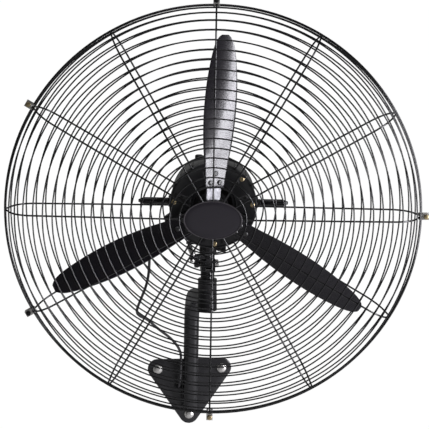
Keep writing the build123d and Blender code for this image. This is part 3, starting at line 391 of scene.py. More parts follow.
def turned_piece(name, sides, outline):
    """Grows a round piece as on a lathe: a circle is extruded and resized, step by step.

    An outline of (radius, height) that ends where it starts makes a ring.
    """
    radius, height = outline[0]
    fill = "NOTHING" if outline[0] == outline[-1] else "NGON"
    circle = bpy.ops.mesh.primitive_circle_add
    piece = added(name, circle, vertices=sides, radius=radius * MM, fill_type=fill)
    bpy.ops.object.mode_set(mode="EDIT")
    bpy.ops.transform.translate(value=(0, 0, height * MM))
    for next_radius, next_height in outline[1:]:
        drawn_out((0, 0, (next_height - height) * MM))
        ratio = next_radius / radius
        bpy.ops.transform.resize(value=(ratio, ratio, 1), center_override=(0, 0, 0))
        radius, height = next_radius, next_height
    closed_up()
    return piece


def cut(piece, cutters, operation="DIFFERENCE"):
    """Cuts the cutters out of a piece, or joins them to it, and removes them."""
    for cutter in cutters:
        picked(piece)
        saw = piece.modifiers.new("saw", "BOOLEAN")
        saw.operation = operation
        saw.solver = "EXACT"
        saw.object = cutter
        bpy.ops.object.modifier_apply(modifier=saw.name)
        bpy.data.objects.remove(cutter)
    return piece


def bar(name, sides, radius, start, end, place=IN_PLACE):
    """A plain round bar along Z, used for holes, pins and bosses."""
    rod = added(
        name,
        bpy.ops.mesh.primitive_cylinder_add,
        vertices=sides,
        radius=radius * MM,
        depth=(end - start) * MM,
        location=(0, 0, (start + end) / 2 * MM),
    )
    return placed(rod, place)


def block(name, size, middle, turn=0.0):
    """A plain block round its middle, used for slots, ribs and sheet."""
    spot = Vector(middle) * MM
    solid = added(name, bpy.ops.mesh.primitive_cube_add, size=1, location=spot, rotation=(0, 0, turn))
    solid.scale = Vector(size) * MM
    bpy.ops.object.transform_apply(location=True, rotation=True, scale=True)
    return solid


def copies(piece, places):
    """Copies of a piece, each with a mesh of its own and in its place."""
    twins = []
    for place in places:
        twin = piece.copy()
        twin.data = piece.data.copy()
        bpy.context.scene.collection.objects.link(twin)
        twins.append(settled(twin, place))
    bpy.data.objects.remove(piece)
    return twins


def joined(name, pieces):
    """Joins meshes into one object, each still a closed shell."""
    picked(pieces[0])
    for piece in pieces:
        piece.select_set(True)
    if len(pieces) > 1:
        bpy.ops.object.join()
    pieces[0].name = name
    return pieces[0]


def repeated(name, piece, places):
    """One object of the same piece in several places."""
    return joined(name, copies(piece, places))


def drilled(piece, sides, radius, start, end, places, operation="DIFFERENCE"):
    """Bores the same round hole in several places, or adds the same round boss."""
    return cut(piece, copies(bar("bore", sides, radius, start, end), places), operation)


def hull_plate(name, circles, start, end, sides=40):
    """The flat plate that a belt round several circles (x, y, radius) would enclose."""
    plate = joined(name, [bar(name, sides, radius, start, end, at(x, y)) for x, y, radius in circles])
    opened()
    bpy.ops.mesh.convex_hull()
    bpy.ops.mesh.dissolve_limited(angle_limit=radians(1))
    closed_up()
    return plate


HOLE_SPOTS = ((-62.5, 46.0), (62.5, 46.0), (0.0, -46.0))
PLATE_CORNER = 19.0
WALL_PLATE = 6.0
GROMMET_SPOT = (-23.0, 12.0)
wall_place = turning(90, "X")
plate_corners = [(x, z, PLATE_CORNER) for x, z in HOLE_SPOTS]
plate = hull_plate("wall_plate", plate_corners, 0, WALL_PLATE, 64)
plate = settled(plate, wall_place, 1.4, 3)
bolt_spots = [wall_place @ at(x, z) for x, z in HOLE_SPOTS]
grommet_place = wall_place @ at(*GROMMET_SPOT)
drilled(plate, 32, 5.5, -1, 8, bolt_spots)
cut(plate, [bar("hole", 24, 4.72, -1, 8, grommet_place)])

ARM_SIZE, ARM_CORNER, ARM_BEND = 28.0, 11.0, 62.0
SOCKET_TOP, SOCKET_HEIGHT, ARM_ENTRY = 282.0, 58.0, 0.58
arm_foot = Vector((0, -19, -30)) * MM
arm_knee = Vector((0, -24, 196)) * MM
arm_end = Vector((0, 6 - REACH, SOCKET_TOP - ARM_ENTRY * SOCKET_HEIGHT)) * MM
upright, forward = (arm_knee - arm_foot).normalized(), (arm_end - arm_knee).normalized()
arm_turn = upright.angle(forward)
bend_start = arm_knee - upright * ARM_BEND * MM * tan(arm_turn / 2)
bend_end = arm_knee + forward * ARM_BEND * MM * tan(arm_turn / 2)
inward = Vector((0, -upright.z, upright.y))
arm = added("arm_tube", bpy.ops.mesh.primitive_plane_add, size=ARM_SIZE * MM)
bpy.ops.object.mode_set(mode="EDIT")
bpy.ops.mesh.bevel(offset=ARM_CORNER * MM, affect="VERTICES", segments=7)
bpy.ops.object.mode_set(mode="OBJECT")
tip = atan2(-upright.y, upright.z)
placed(arm, Matrix.Translation(arm_foot) @ Matrix.Rotation(tip, 4, "X"))
opened()
drawn_out(bend_start - arm_foot)
bpy.ops.mesh.spin(
    steps=18, angle=-arm_turn, center=bend_start + inward * ARM_BEND * MM, axis=(1, 0, 0)
)
drawn_out(arm_end - bend_end)
closed_up()
settled(arm, width=0.6)

socket_outline = (
    (18.7, 0), (18.7, 1.2), (18.1, 2.4), (16.9, 52.0), (17.3, 53.0), (17.3, 57.2), (16.5, 58.0),
    (12.55, 58.0), (12.55, 8.0), (5.0, 8.0), (5.0, 0), (18.7, 0),
)
socket_place = at(0, -REACH, SOCKET_TOP - SOCKET_HEIGHT)
socket = settled(turned_piece("socket", 64, socket_outline), socket_place, 0.5)
socket_screw_place = at(0, -REACH, SOCKET_TOP - 20) @ turning(90, "Y")
cut(socket, [bar("screw_hole", 24, 4.02, 12, 25, socket_screw_place)])


def weld_bead(name, length, width, place=IN_PLACE):
    """A fillet weld along an edge: a ribbed bead that lies in the corner."""
    bead = bar(name, 10, width / 2, -length / 2, length / 2)
    opened()
    bpy.ops.mesh.bisect(plane_co=(0, 0, 0), plane_no=(0, 0, 1))
    rows = int(length / WELD_RIPPLE)
    for row in range(1, rows):
        bpy.ops.mesh.select_all(action="SELECT")
        height = (row / rows - 0.5) * length * MM
        bpy.ops.mesh.bisect(plane_co=(0, 0, height), plane_no=(0, 0, 1))
        swell = 1.16 if row % 2 else 0.9
        bpy.ops.transform.resize(value=(swell, swell, 1), center_override=(0, 0, height))
    closed_up()
    return settled(bead, place)


WELD_RIPPLE = 2.4
side_beads = copies(weld_bead("bead", 92, 5), [at(x, -6.8, 16) for x in (-13.5, 13.5)])
foot_bead = weld_bead("bead", 20, 5, at(0, -6.8, -30.2) @ turning(90, "Y"))
bracket = settled(joined("bracket_weldment", [plate, arm, socket, *side_beads, foot_bead]))
bracket_coat = black_coat("bracket_coat", (0.008, 0.0078, 0.009), 0.3, 420, 0.05, 0.14)
rides(bracket, "bracket", "bracket_paint", bracket_coat, "wall_bracket")


# ---- Wall bolts ----
# Three 8 mm zinc-plated sleeve anchors: a hexagon head on a round washer, and a split
# sleeve in the wall that the bolt's cone spreads.
def plated_steel(name, colour, stain, roughness, scratch=0.3):
    """Bright or passivated plating: cloudy tint, fine scratches and duller patches."""
    plating, tree, where = new_finish(name)
    clouds = tree.noise(where, 160.0, 4.0, Roughness=0.6)
    long_way = {"Vector": where, "Scale": (900.0, 900.0, 60.0)}
    hairlines = tree.noise(tree.node("ShaderNodeMapping", {}, long_way), 3.0, 3.0)
    tint = clouds.over(0.3, 0.75).between((*colour, 1), (*stain, 1))
    dull = roughness + clouds * 0.14 + hairlines.over(0.5, 0.8) * 0.15
    return finished(plating, tint, dull, hairlines, scratch, 0.05, [("Metallic", 1.0)])


def hex_head(name, across, height, place, bore=0.0):
    """A forged hexagon head, or a nut with its bore: the corners are chamfered on top."""
    head = bar(name, 6, across / 2 / cos(pi / 6), 0, height)
    wide, narrow = across * 0.62, across * 0.46
    dome_outline = ((wide, -0.2), (wide, height * 0.78), (narrow, height + 0.05))
    cut(head, [turned_piece("dome", 48, dome_outline)], "INTERSECT")
    if bore:
        cut(head, [bar("bore", 24, bore, -1, height + 1)])
    return settled(head, place, 0.15)


def washer(name, outer, hole, thick, place=IN_PLACE):
    """A punched washer with slightly rounded rims."""
    ring = turned_piece(name, 48, ((outer, 0), (outer, thick), (hole, thick), (hole, 0), (outer, 0)))
    return settled(ring, place, 0.2)


bright_zinc = plated_steel("bright_zinc", (0.78, 0.77, 0.74), (0.52, 0.51, 0.48), 0.22)
BOLT_TURNS = (51, 9, 0)
cone_outline = ((5.0, -45.0), (4.0, -41.0), (4.0, -37.0), (3.9, -36.0), (3.9, 7.6))
bolt_head = hex_head("head", 13, 5.5, at(z=7.6))
bolt_shank = settled(turned_piece("shank", 32, cone_outline), width=0.2)
wall_bolt = joined("wall_bolt", [bolt_head, bolt_shank])
turned_spots = [spot @ turning(angle) for spot, angle in zip(bolt_spots, BOLT_TURNS)]
rides(repeated("wall_bolts", wall_bolt, turned_spots), "bracket", "zinc", bright_zinc, "anchor_bolts")
wall_washer = washer("wall_washer", 9.0, 4.1, 1.58, at(z=6.02))
rides(repeated("wall_washers", wall_washer, bolt_spots), "bracket", "zinc", bright_zinc, "anchor_washers")

sleeve_outline = (
    (5.0, -40.98), (5.0, -14), (4.8, -13.6), (4.8, -12), (5.0, -11.6), (5.0, -1), (4.02, -1), (4.02, -40.98),
    (5.0, -40.98),
)
sleeve = turned_piece("sleeve", 32, sleeve_outline)
cut(sleeve, [block("slit", (12, 0.9, 22), (0, 0, -32), turn) for turn in (0, pi / 2)])
rides(repeated("wall_sleeves", sleeve, bolt_spots), "bracket", "zinc", bright_zinc, "anchor_sleeves")


# ---- Grommet and set screw ----
# A moulded rubber grommet lines the cable's hole in the plate, and a black socket set
# screw in the tapered socket keeps the post from turning.
grommet_outline = (
    (2.7, 0.5), (4.6, 0.5), (4.6, 6.0), (6.3, 6.1), (6.7, 6.8), (6.4, 8.6), (5.4, 9.7), (3.6, 10.0),
    (2.7, 9.6), (2.7, 0.5),
)
grommet = settled(turned_piece("plate_grommet", 40, grommet_outline), grommet_place, 0.25)
rides(grommet, "bracket", "black_rubber", rubber_sheath, "cable_grommet")

set_screw = turned_piece("set_screw", 32, ((3.6, 12.52), (4.0, 12.9), (4.0, 16.0), (3.7, 16.4)))
hexagon_key = turned_piece("key", 6, ((2.3, 13.8), (2.3, 18.0)))
set_screw = settled(cut(set_screw, [hexagon_key]), socket_screw_place, 0.1)
black_oxide = plated_steel("black_oxide", (0.05, 0.05, 0.052), (0.02, 0.02, 0.02), 0.34)
rides(set_screw, "bracket", "black_oxide", black_oxide, "socket_screw")


# ---- Post and tilt joint ----
# A machined steel post drops into the socket; its fork holds the neck's tongue on an 8 mm
# bolt, and the black hand knob on the bolt's thread clamps the tilt.
def arch(name, radius, thick, reach, place=IN_PLACE):
    """An eye with straight sides down to a flat end: a disc with its lower half drawn out."""
    eye = bar(name, 48, radius, -thick / 2, thick / 2)
    for vertex in eye.data.vertices:
        if vertex.co.y < -1e-6:
            vertex.co.y = -reach * MM
    closed_up()
    return placed(eye, place)


TILT_DROP, EAR_RADIUS, POST_RADIUS, TONGUE = 128.0, 10.5, 12.5, 10.0
tilt_place = swing_top @ at(z=-TILT_DROP)
across_place = turning(90, "Y") @ turning(90)
ear_thick = POST_RADIUS - TONGUE / 2 - 0.2
stem_outline = (
    (POST_RADIUS - 1, -78.0), (POST_RADIUS, -77.0), (POST_RADIUS, -27.2), (11.6, -26.6), (11.6, -25.2),
    (POST_RADIUS, -24.6), (POST_RADIUS, -13.0), (POST_RADIUS - 0.8, -12.0),
)
post = settled(turned_piece("post_stem", 64, stem_outline), tilt_place)
ear_middle = POST_RADIUS - ear_thick / 2
ear_places = [tilt_place @ at(x) @ across_place for x in (-ear_middle, ear_middle)]
cut(post, copies(arch("ear", EAR_RADIUS, ear_thick, 12.6), ear_places), "UNION")
tilt_way = tilt_place @ turning(90, "Y")
cut(post, [bar("tilt_bore", 32, 4.04, -20, 20, tilt_way)])
post = settled(post, width=0.5)
post_coat = black_coat("post_coat", (0.008, 0.008, 0.0085), 0.22, 500, 0.03, 0.12)
rides(post, "bracket", "bracket_paint", post_coat, "post")

seat = POST_RADIUS + 1.6
shank_outline = ((3.6, -seat - 7), (4.0, -seat - 6.4), (4.0, seat))
tilt_head = hex_head("head", 13, 5.3, tilt_way @ at(z=seat))
tilt_shank = settled(turned_piece("shank", 32, shank_outline), tilt_way)
rides(joined("tilt_hinge_bolt", [tilt_head, tilt_shank]), "bracket", "zinc", bright_zinc, "tilt_bolt")
washer_places = [tilt_way @ at(z=z) for z in (POST_RADIUS + 0.02, -POST_RADIUS - 1.58)]
tilt_washers = repeated("tilt_washer_pair", washer("washer", 8.0, 4.1, 1.56), washer_places)
rides(tilt_washers, "bracket", "zinc", bright_zinc, "tilt_washers")


def moulded_plastic(name, colour, roughness, grain_depth):
    """Moulded black plastic: a fine spark-eroded grain, rubbed shinier in places."""
    plastic, tree, where = new_finish(name)
    grain, rubbed = tree.noise(where, 1100.0, 2.0), tree.noise(where, 60.0, 3.0)
    paler = tuple(value * 1.7 + 0.004 for value in colour)
    shade = rubbed.over(0.4, 0.8).between((*colour, 1), (*paler, 1))
    sheen = roughness + grain * 0.12 - rubbed.over(0.5, 0.8) * 0.12
    return finished(plastic, shade, sheen, grain, 0.6, grain_depth)


def on_circle(count, radius):
    """Places spaced evenly on a circle, counted from +X."""
    return [turning(step * 360 / count) @ at(radius) for step in range(count)]


knob_plastic = moulded_plastic("knob_plastic", (0.009, 0.009, 0.0095), 0.34, 0.04)
knob_start, knob_end = seat + 0.3, POST_RADIUS + 12
knob_outline = (
    (5.5, knob_start), (5.9, knob_start + 1.6), (7.0, knob_start + 2.6), (7.4, knob_start + 3.4),
    (7.4, knob_end - 2.2), (7.0, knob_end - 0.9), (5.6, knob_end - 0.1), (3.4, knob_end),
    (3.2, knob_end - 0.5),
)
tilt_knob = turned_piece("tilt_hand_knob", 60, knob_outline)
drilled(tilt_knob, 24, 1.6, knob_start + 2.5, knob_end + 1, on_circle(6, 8.2))
cut(tilt_knob, [bar("thread", 24, 4.05, knob_start - 1, seat + 7.3)])
knob_place = tilt_place @ turning(-90, "Y")
rides(settled(tilt_knob, knob_place, 0.25), "tilt_knob", "black_plastic", knob_plastic, "tilt_knob")


# ---- Neck and swing pivot ----
# Cast block between the tilt and the swing: a tongue below, an arm at the left for the
# link, and the upright steel pin that the head turns on, over a thrust washer.
PIVOT_TOP, BOSS_BOTTOM = 66.0, -108.3
BLOCK_BOTTOM, BLOCK_TOP = -116.9, -109.9
ANCHOR_SPOT = (-29.117, -10.639)
lock_place = at(z=BOSS_BOTTOM + 8) @ turning(90, "Y")

neck = hull_plate("neck_casting", ((0, 0, 9.0), (*ANCHOR_SPOT, 6.0)), BLOCK_BOTTOM, BLOCK_TOP)
disc_outline = ((11.6, BLOCK_BOTTOM), (12.5, BLOCK_BOTTOM + 0.9), (12.5, BLOCK_TOP - 0.5), (12.0, BLOCK_TOP))
cut(neck, [turned_piece("disc", 64, disc_outline)], "UNION")
tongue_way = at(z=-TILT_DROP) @ across_place @ turning(180)
cut(neck, [arch("tongue", EAR_RADIUS, TONGUE, 12.0, tongue_way)], "UNION")
anchor_place = at(*ANCHOR_SPOT)
neck_bores = [
    bar("tilt_bore", 32, 4.05, -20, 20, at(z=-TILT_DROP) @ turning(90, "Y")),
    bar("pin_bore", 48, 8.02, BLOCK_BOTTOM + 1, BLOCK_TOP + 1),
    bar("link_bore", 24, 3.02, BLOCK_BOTTOM - 1, BLOCK_TOP + 1, anchor_place),
]
neck = settled(cut(neck, neck_bores), swing_top, 0.35)
rides(neck, "neck", "bracket_paint", post_coat, "neck_block")

ground_steel = plated_steel("ground_steel", (0.5, 0.5, 0.51), (0.33, 0.33, 0.34), 0.2, 0.15)
pin_outline = ((8, BLOCK_BOTTOM + 1), (8, -67.0), (7.4, -66.2), (7, -PIVOT_TOP))
pin = settled(turned_piece("swing_pin", 48, pin_outline), swing_top)
rides(pin, "neck", "ground_steel", ground_steel, "pivot_pin")
thrust = washer("swing_thrust_washer", 12.5, 8.02, 1.5, swing_top @ at(z=BLOCK_TOP))
rides(thrust, "neck", "ground_steel", ground_steel, "thrust_washer")

bronze = plated_steel("bronze", (0.45, 0.27, 0.13), (0.3, 0.17, 0.09), 0.34)
bush_outline = (
    (10.6, BOSS_BOTTOM), (11.0, BOSS_BOTTOM + 0.5), (11.0, -64.5), (10.6, -64), (8.4, -64),
    (8.05, -64.4), (8.05, BOSS_BOTTOM), (10.6, BOSS_BOTTOM),
)
bush = turned_piece("swing_bush", 48, bush_outline)
cut(bush, [bar("lock_hole", 24, 3.05, 7, 12, lock_place)])
rides(settled(bush, head_place), "head", "bronze", bronze, "pivot_bush")

lock = hull_plate("swing_lock_thumbscrew", ((0, 0, 4.2),), 24.5, 32.5)
drilled(lock, 24, 2.1, 24.7, 32.3, on_circle(5, 4.8), "UNION")
stem_outline = ((2.5, 8.35), (3.0, 8.9), (3.0, 17.0), (4.4, 17.0), (4.4, 24.6))
stem = settled(turned_piece("stem", 32, stem_outline), lock_place, 0.15)
lock = joined("swing_lock_thumbscrew", [settled(lock, lock_place, 0.5), stem])
rides(settled(lock, head_place), "swing_lock", "black_plastic", knob_plastic, "swing_lock_screw")


# ---- Motor: shell and end covers ----
# Cast aluminium, sand-blasted and painted satin black: a finned tube with a boss for each
# handle, a ribbed front cover, and the rear cover whose boss carries the swing pivot.
def round_spots(angles, radius):
    """Places on a circle, by angles clockwise from the top seen from the front."""
    return [turning(-angle) @ at(0, radius) for angle in angles]


def slot_bar(name, width, length, start, end):
    """A bar with two round sides: a cylinder with half of it moved out along Y."""
    slit = bar(name, 24, width / 2, start, end)
    for vertex in slit.data.vertices:
        vertex.co.y += (length - width) / 2 * MM * (1 if vertex.co.y > 0 else -1)
    return slit


SHELL_REAR, SHELL_FRONT, MOTOR_FACE, SHIELD_BACK, MOTOR_RADIUS = 18.0, 80.0, 97.0, -16.0, 74.0
HANDLE_STATION = SHELL_FRONT - 14.0
TIE_ANGLES = (20, 110, 200, 290)
PLATE_SCREW_ANGLES = (46, 88, 177, 274)
LUG_RING, TIE_RING, PLATE_SCREW_RING = 65, 66, 69
motor_coat = black_coat("motor_coat", (0.007, 0.007, 0.0075), 0.24, 220, 0.08, 0.12)

shell_outline = (
    (73.2, SHELL_REAR), (74.0, SHELL_REAR + 0.8), (74.0, SHELL_FRONT - 0.8), (73.2, SHELL_FRONT),
    (70.0, SHELL_FRONT), (70.0, SHELL_REAR), (73.2, SHELL_REAR),
)
shell = turned_piece("motor_casing", 144, shell_outline)
sideways_out = at(z=HANDLE_STATION) @ turning(-90, "X")
handle_spots = [spot @ sideways_out for spot in round_spots((90, 270), 0)]
handle_boss = turned_piece("boss", 48, ((10.6, 70.5), (10.4, 75.0), (10.0, 78.4), (9.4, 79.0)))
cut(shell, copies(handle_boss, handle_spots), "UNION")
drilled(shell, 24, 4.03, 69, 80, handle_spots)
FIN_ANGLES = [10 + 20 * step for step in range(18) if step not in (4, 13)]
fin = block("fin", (2.4, 3.5, 54), (0, 74.75, 49))
for vertex in fin.data.vertices:
    if vertex.co.y > 75 * MM:
        vertex.co.x *= 0.6
        vertex.co.z = 49 * MM + (vertex.co.z - 49 * MM) * 0.95
fins = copies(settled(fin, width=0.4), round_spots(FIN_ANGLES, 0))
shell = joined("motor_casing", [settled(shell, width=0.4), *fins])
rides(settled(shell, fan_place), "head", "motor_paint", motor_coat, "motor_shell")

cover_outline = (
    (74.0, SHELL_FRONT + 0.02), (74.0, MOTOR_FACE - 3.2), (73.2, MOTOR_FACE - 1.2), (71.4, MOTOR_FACE),
    (8.5, MOTOR_FACE), (8.5, MOTOR_FACE - 2), (17.52, MOTOR_FACE - 2), (17.52, MOTOR_FACE - 13),
    (22.5, MOTOR_FACE - 13), (23.5, MOTOR_FACE - 5), (69.0, MOTOR_FACE - 5), (69.0, SHELL_FRONT + 0.02),
    (74.0, SHELL_FRONT + 0.02),
)
front_cover = turned_piece("front_end_cover", 120, cover_outline)
opening_outline = ((34.2, 90), (34.2, 99), (26.5, 99), (26.5, 90), (34.2, 90))
cut(front_cover, [turned_piece("opening", 96, opening_outline)])
rib = block("rib", (4, 54, 9), (0, 44, MOTOR_FACE - 6))
cut(front_cover, copies(rib, round_spots(range(0, 360, 60), 0)), "UNION")
lug_spots = round_spots(PLATE_SCREW_ANGLES + TIE_ANGLES, LUG_RING)
drilled(front_cover, 32, 7, SHELL_FRONT + 0.05, MOTOR_FACE - 0.3, lug_spots, "UNION")
plate_screw_spots = round_spots(PLATE_SCREW_ANGLES, PLATE_SCREW_RING)
tie_spots = round_spots(TIE_ANGLES, TIE_RING)
drilled(front_cover, 20, 2.53, MOTOR_FACE - 12.5, MOTOR_FACE + 2, plate_screw_spots)
drilled(front_cover, 20, 2.53, SHELL_FRONT - 1, SHELL_FRONT + 9, tie_spots)
rides(settled(front_cover, fan_place, 0.25), "head", "motor_paint", motor_coat, "front_shield")

TIE_SEAT = SHIELD_BACK + 14
back_outline = (
    (74.0, SHELL_REAR - 0.02), (74.0, SHELL_REAR - 13), (73.4, SHELL_REAR - 15), (63.0, SHIELD_BACK + 5),
    (60.5, SHIELD_BACK + 2.6), (55.5, SHIELD_BACK + 0.4), (54.0, SHIELD_BACK), (8.5, SHIELD_BACK),
    (8.5, SHIELD_BACK + 8), (17.52, SHIELD_BACK + 8), (17.52, SHIELD_BACK + 19), (22.5, SHIELD_BACK + 19),
    (22.5, SHIELD_BACK + 5), (52.0, SHIELD_BACK + 5), (57.0, SHIELD_BACK + 9), (69.0, SHELL_REAR - 14),
    (69.0, SHELL_REAR - 0.02), (74.0, SHELL_REAR - 0.02),
)
back_cover = turned_piece("rear_end_cover", 120, back_outline)
lug_spots = round_spots(TIE_ANGLES, LUG_RING)
drilled(back_cover, 32, 7, TIE_SEAT - 2, SHELL_REAR - 0.05, lug_spots, "UNION")
drilled(back_cover, 28, 2.53, SHIELD_BACK - 1, SHELL_REAR + 1, tie_spots)
drilled(back_cover, 28, 5.8, SHIELD_BACK - 2, TIE_SEAT, tie_spots)
fan_way = at(PIVOT_OFFSET) @ turning(90, "X")
back_cover.data.transform(fan_way)
boss_outline = (
    (15.0, BOSS_BOTTOM), (15.5, BOSS_BOTTOM + 0.6), (15.5, -72.0), (16.6, -68.0), (18.4, -PIVOT_TOP),
    (19.0, -60.0),
)
cut(back_cover, [turned_piece("boss", 64, boss_outline)], "UNION")
cut(back_cover, [bar("bore", 48, 11.02, BOSS_BOTTOM - 1, -PIVOT_TOP + 4)])
cut(back_cover, [bar("lock_hole", 24, 3.06, 10, 18, lock_place)])
rides(settled(back_cover, head_place, 0.3), "head", "motor_paint", motor_coat, "rear_shield")

tie_shank = settled(turned_piece("shank", 24, ((2.5, 0), (2.5, 89.4), (2.0, 90.0))))
tie_bolt = joined("tie_bolt", [hex_head("head", 8, 4, turning(180, "X")), tie_shank])
tie_seats = [fan_place @ spot @ at(z=TIE_SEAT) for spot in tie_spots]
rides(repeated("long_tie_bolts", tie_bolt, tie_seats), "head", "zinc", bright_zinc, "tie_bolts")


# ---- Inside the motor and the gearbox ----
# Stator and rotor of stacked sheets, copper windings, ground shaft and ball bearings, a
# hardened worm and its bronze wheel.  Their shapes are right as drawn; each gets its finish.
def laminated(name, colour, edge):
    """A stack of electrical sheets seen on edge: fine layers along the motor's axis."""
    stack, tree, where = new_finish(name)
    level = {"Vector": where, "Rotation": (0, 0, -radians(SWING_AT_REST))}
    turned_back = tree.node("ShaderNodeMapping", {}, level)
    layers = {"Vector": turned_back, "Scale": 500.0, "Distortion": 0.6, "Detail": 2.0}
    sheets = tree.node("ShaderNodeTexWave", {"bands_direction": "Y"}, layers, "Fac")
    rust = tree.noise(where, 90.0, 4.0)
    tint = (sheets * 0.5 + rust.over(0.4, 0.7) * 0.5).between((*colour, 1), (*edge, 1))
    return finished(stack, tint, 0.42 + rust * 0.2, sheets, 0.5, 0.2, [("Metallic", 0.9)])


electrical_sheet = laminated("electrical_sheet", (0.2, 0.2, 0.21), (0.09, 0.075, 0.065))
winding_copper = laminated("winding_copper", (0.55, 0.24, 0.09), (0.26, 0.1, 0.04))
worm_steel = plated_steel("worm_steel", (0.3, 0.3, 0.31), (0.16, 0.15, 0.14), 0.28)
bearing_steel = plated_steel("bearing_steel", (0.6, 0.6, 0.61), (0.42, 0.42, 0.43), 0.16, 0.1)
INSIDE = {
    "stator_core": electrical_sheet,
    "rotor_core": electrical_sheet,
    "stator_windings": winding_copper,
    "motor_shaft": ground_steel,
    "front_bearing": bearing_steel,
    "rear_bearing": bearing_steel,
    "worm": worm_steel,
    "drive_wheel": bronze,
}
for node, finish in INSIDE.items():
    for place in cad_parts[node].material_slots:
        place.material = finish


# ---- Gearbox ----
# Cast housing bolted behind the motor, with the crank shaft's tube hanging below, a lid
# with four screws, and the knob that is pulled up to stop the oscillation.
def pan_screw(name, head, shank, height, length, recess=0.9):
    """A pan-head machine screw with a cross recess, its head sitting on the height 0."""
    outline = (
        (shank * 0.82, -length), (shank, -length + 0.8), (shank, 0), (head, 0), (head, height * 0.45),
        (head * 0.86, height * 0.8), (head * 0.5, height),
    )
    slot_size = (head * 1.1, recess, height * 1.1)
    cross = [block("cross", slot_size, (0, 0, height), turn + 0.5) for turn in (0, pi / 2)]
    return settled(cut(turned_piece(name, 32, outline), cross), width=0.12)


def rounded_block(name, left, right, front, back, corner, floor, top):
    """An upright block with rounded corners: a plane, bevelled and extruded."""
    middle = Vector(((left + right) / 2, (front + back) / 2, floor)) * MM
    casting = added(name, bpy.ops.mesh.primitive_plane_add, size=1, location=middle)
    casting.scale = ((right - left) * MM, (back - front) * MM, 1)
    bpy.ops.object.transform_apply(location=True, scale=True)
    bpy.ops.object.mode_set(mode="EDIT")
    bpy.ops.mesh.bevel(offset=corner * MM, affect="VERTICES", segments=8)
    bpy.ops.mesh.select_all(action="SELECT")
    drawn_out((0, 0, (top - floor) * MM))
    closed_up()
    return casting


DRIVE_X, DRIVE_BACK = -19.0, 52.0
BOX_OUTLINE = (-45.58, 26.58, 16.02, 78.58, 10)  # left, right, front, back, corner
ROOM_OUTLINE = (-41.6, 22.6, 20.0, 74.6, 6)
BOX_FLOOR, BOX_TOP = -30.0, 36.0
lid_spots = [at(x, y) for x in (-39.6, 20.6) for y in (22.0, 72.6)]
gearbox = rounded_block("gearbox_casting", *BOX_OUTLINE, BOX_FLOOR, BOX_TOP)
gearbox = settled(gearbox, IN_PLACE, 1.2, 3)
cut(gearbox, [rounded_block("room", *ROOM_OUTLINE, BOX_FLOOR + 4, BOX_TOP + 5)])
drive_column = at(DRIVE_X, DRIVE_BACK)
drive_place = head_place @ drive_column
tube_outline = ((10.4, -97.2), (11.0, -96.6), (11.0, -40.0), (12.4, -33.0), (14.0, -29.5), (14.0, -28.0))
crank_tube = turned_piece("crank_tube", 48, tube_outline)
crank_tube.data.transform(drive_column)
cut(gearbox, [crank_tube], "UNION")
drilled(gearbox, 24, 4.5, 11.5, BOX_TOP - 0.05, lid_spots, "UNION")
drilled(gearbox, 20, 2.02, 15.5, BOX_TOP + 1, lid_spots)
cut(gearbox, [bar("crank_bore", 32, 5.05, -100, -20, drive_column)])
cut(gearbox, [bar("shaft_way", 40, 8.5, -DRIVE_BACK, SHIELD_BACK + 1, fan_way)])
rides(settled(gearbox, head_place), "head", "motor_paint", motor_coat, "gearbox_housing")

lid = rounded_block("gearbox_lid", *BOX_OUTLINE, BOX_TOP + 0.02, BOX_TOP + 4)
lid = settled(lid, IN_PLACE, 0.9, 3)
boss_outline = ((9.8, BOX_TOP + 3), (9.3, BOX_TOP + 5.5), (9.0, BOX_TOP + 8.2), (8.2, BOX_TOP + 9))
lid_boss = turned_piece("lid_boss", 48, boss_outline)
lid_boss.data.transform(drive_column)
cut(lid, [lid_boss], "UNION")
drilled(lid, 20, 2.02, 30, 50, lid_spots)
cut(lid, [bar("knob_bore", 32, 4.05, 30, 50, drive_column)])
rides(settled(lid, head_place), "head", "motor_paint", motor_coat, "gearbox_cover")
screw_seats = [head_place @ spot @ at(z=BOX_TOP + 4) for spot in lid_spots]
lid_screws = repeated("gearbox_lid_screws", pan_screw("screw", 3.4, 2.0, 2.4, 14, 0.8), screw_seats)
rides(lid_screws, "head", "zinc", bright_zinc, "cover_screws")

pull_outline = (
    (3.7, 9.0), (4.0, 9.4), (4.0, 48.0), (5.3, 48.0), (5.6, 48.4), (7.0, 51.0), (7.5, 52.4),
    (7.5, 59.4), (7.1, 60.8), (5.9, 61.8), (4.6, 62.0),
)
pull_knob = turned_piece("pull_knob", 48, pull_outline)
drilled(pull_knob, 12, 0.7, 52, 63, on_circle(12, 7.9))
rides(settled(pull_knob, drive_place, 0.15), "clutch", "black_plastic", knob_plastic, "clutch_knob")


# ---- Oscillation drive outside the gearbox ----
# A blackened crank below the gearbox, a flat zinc-plated link with an eye at each end, and
# the shoulder pin that anchors the link to the neck's arm.
LINK_LENGTH, LINK_TURN, LINK_BOTTOM = 63.451, 88.55877, -109.6
CRANK_THROW, CRANK_TURN = 16.0, -167.17244
link_place = swing_top @ at(*ANCHOR_SPOT, LINK_BOTTOM) @ turning(LINK_TURN)
strap = slot_bar("link_strap_bar", 9, LINK_LENGTH + 9, 0, 3)
strap.data.transform(at(LINK_LENGTH / 2) @ turning(90))
eyes = [bar("eye", 32, 3.05, -1, 4), bar("eye", 32, 3.4, -1, 4, at(LINK_LENGTH))]
rides(settled(cut(strap, eyes), link_place, 0.3), "link", "zinc", bright_zinc, "link_strap")

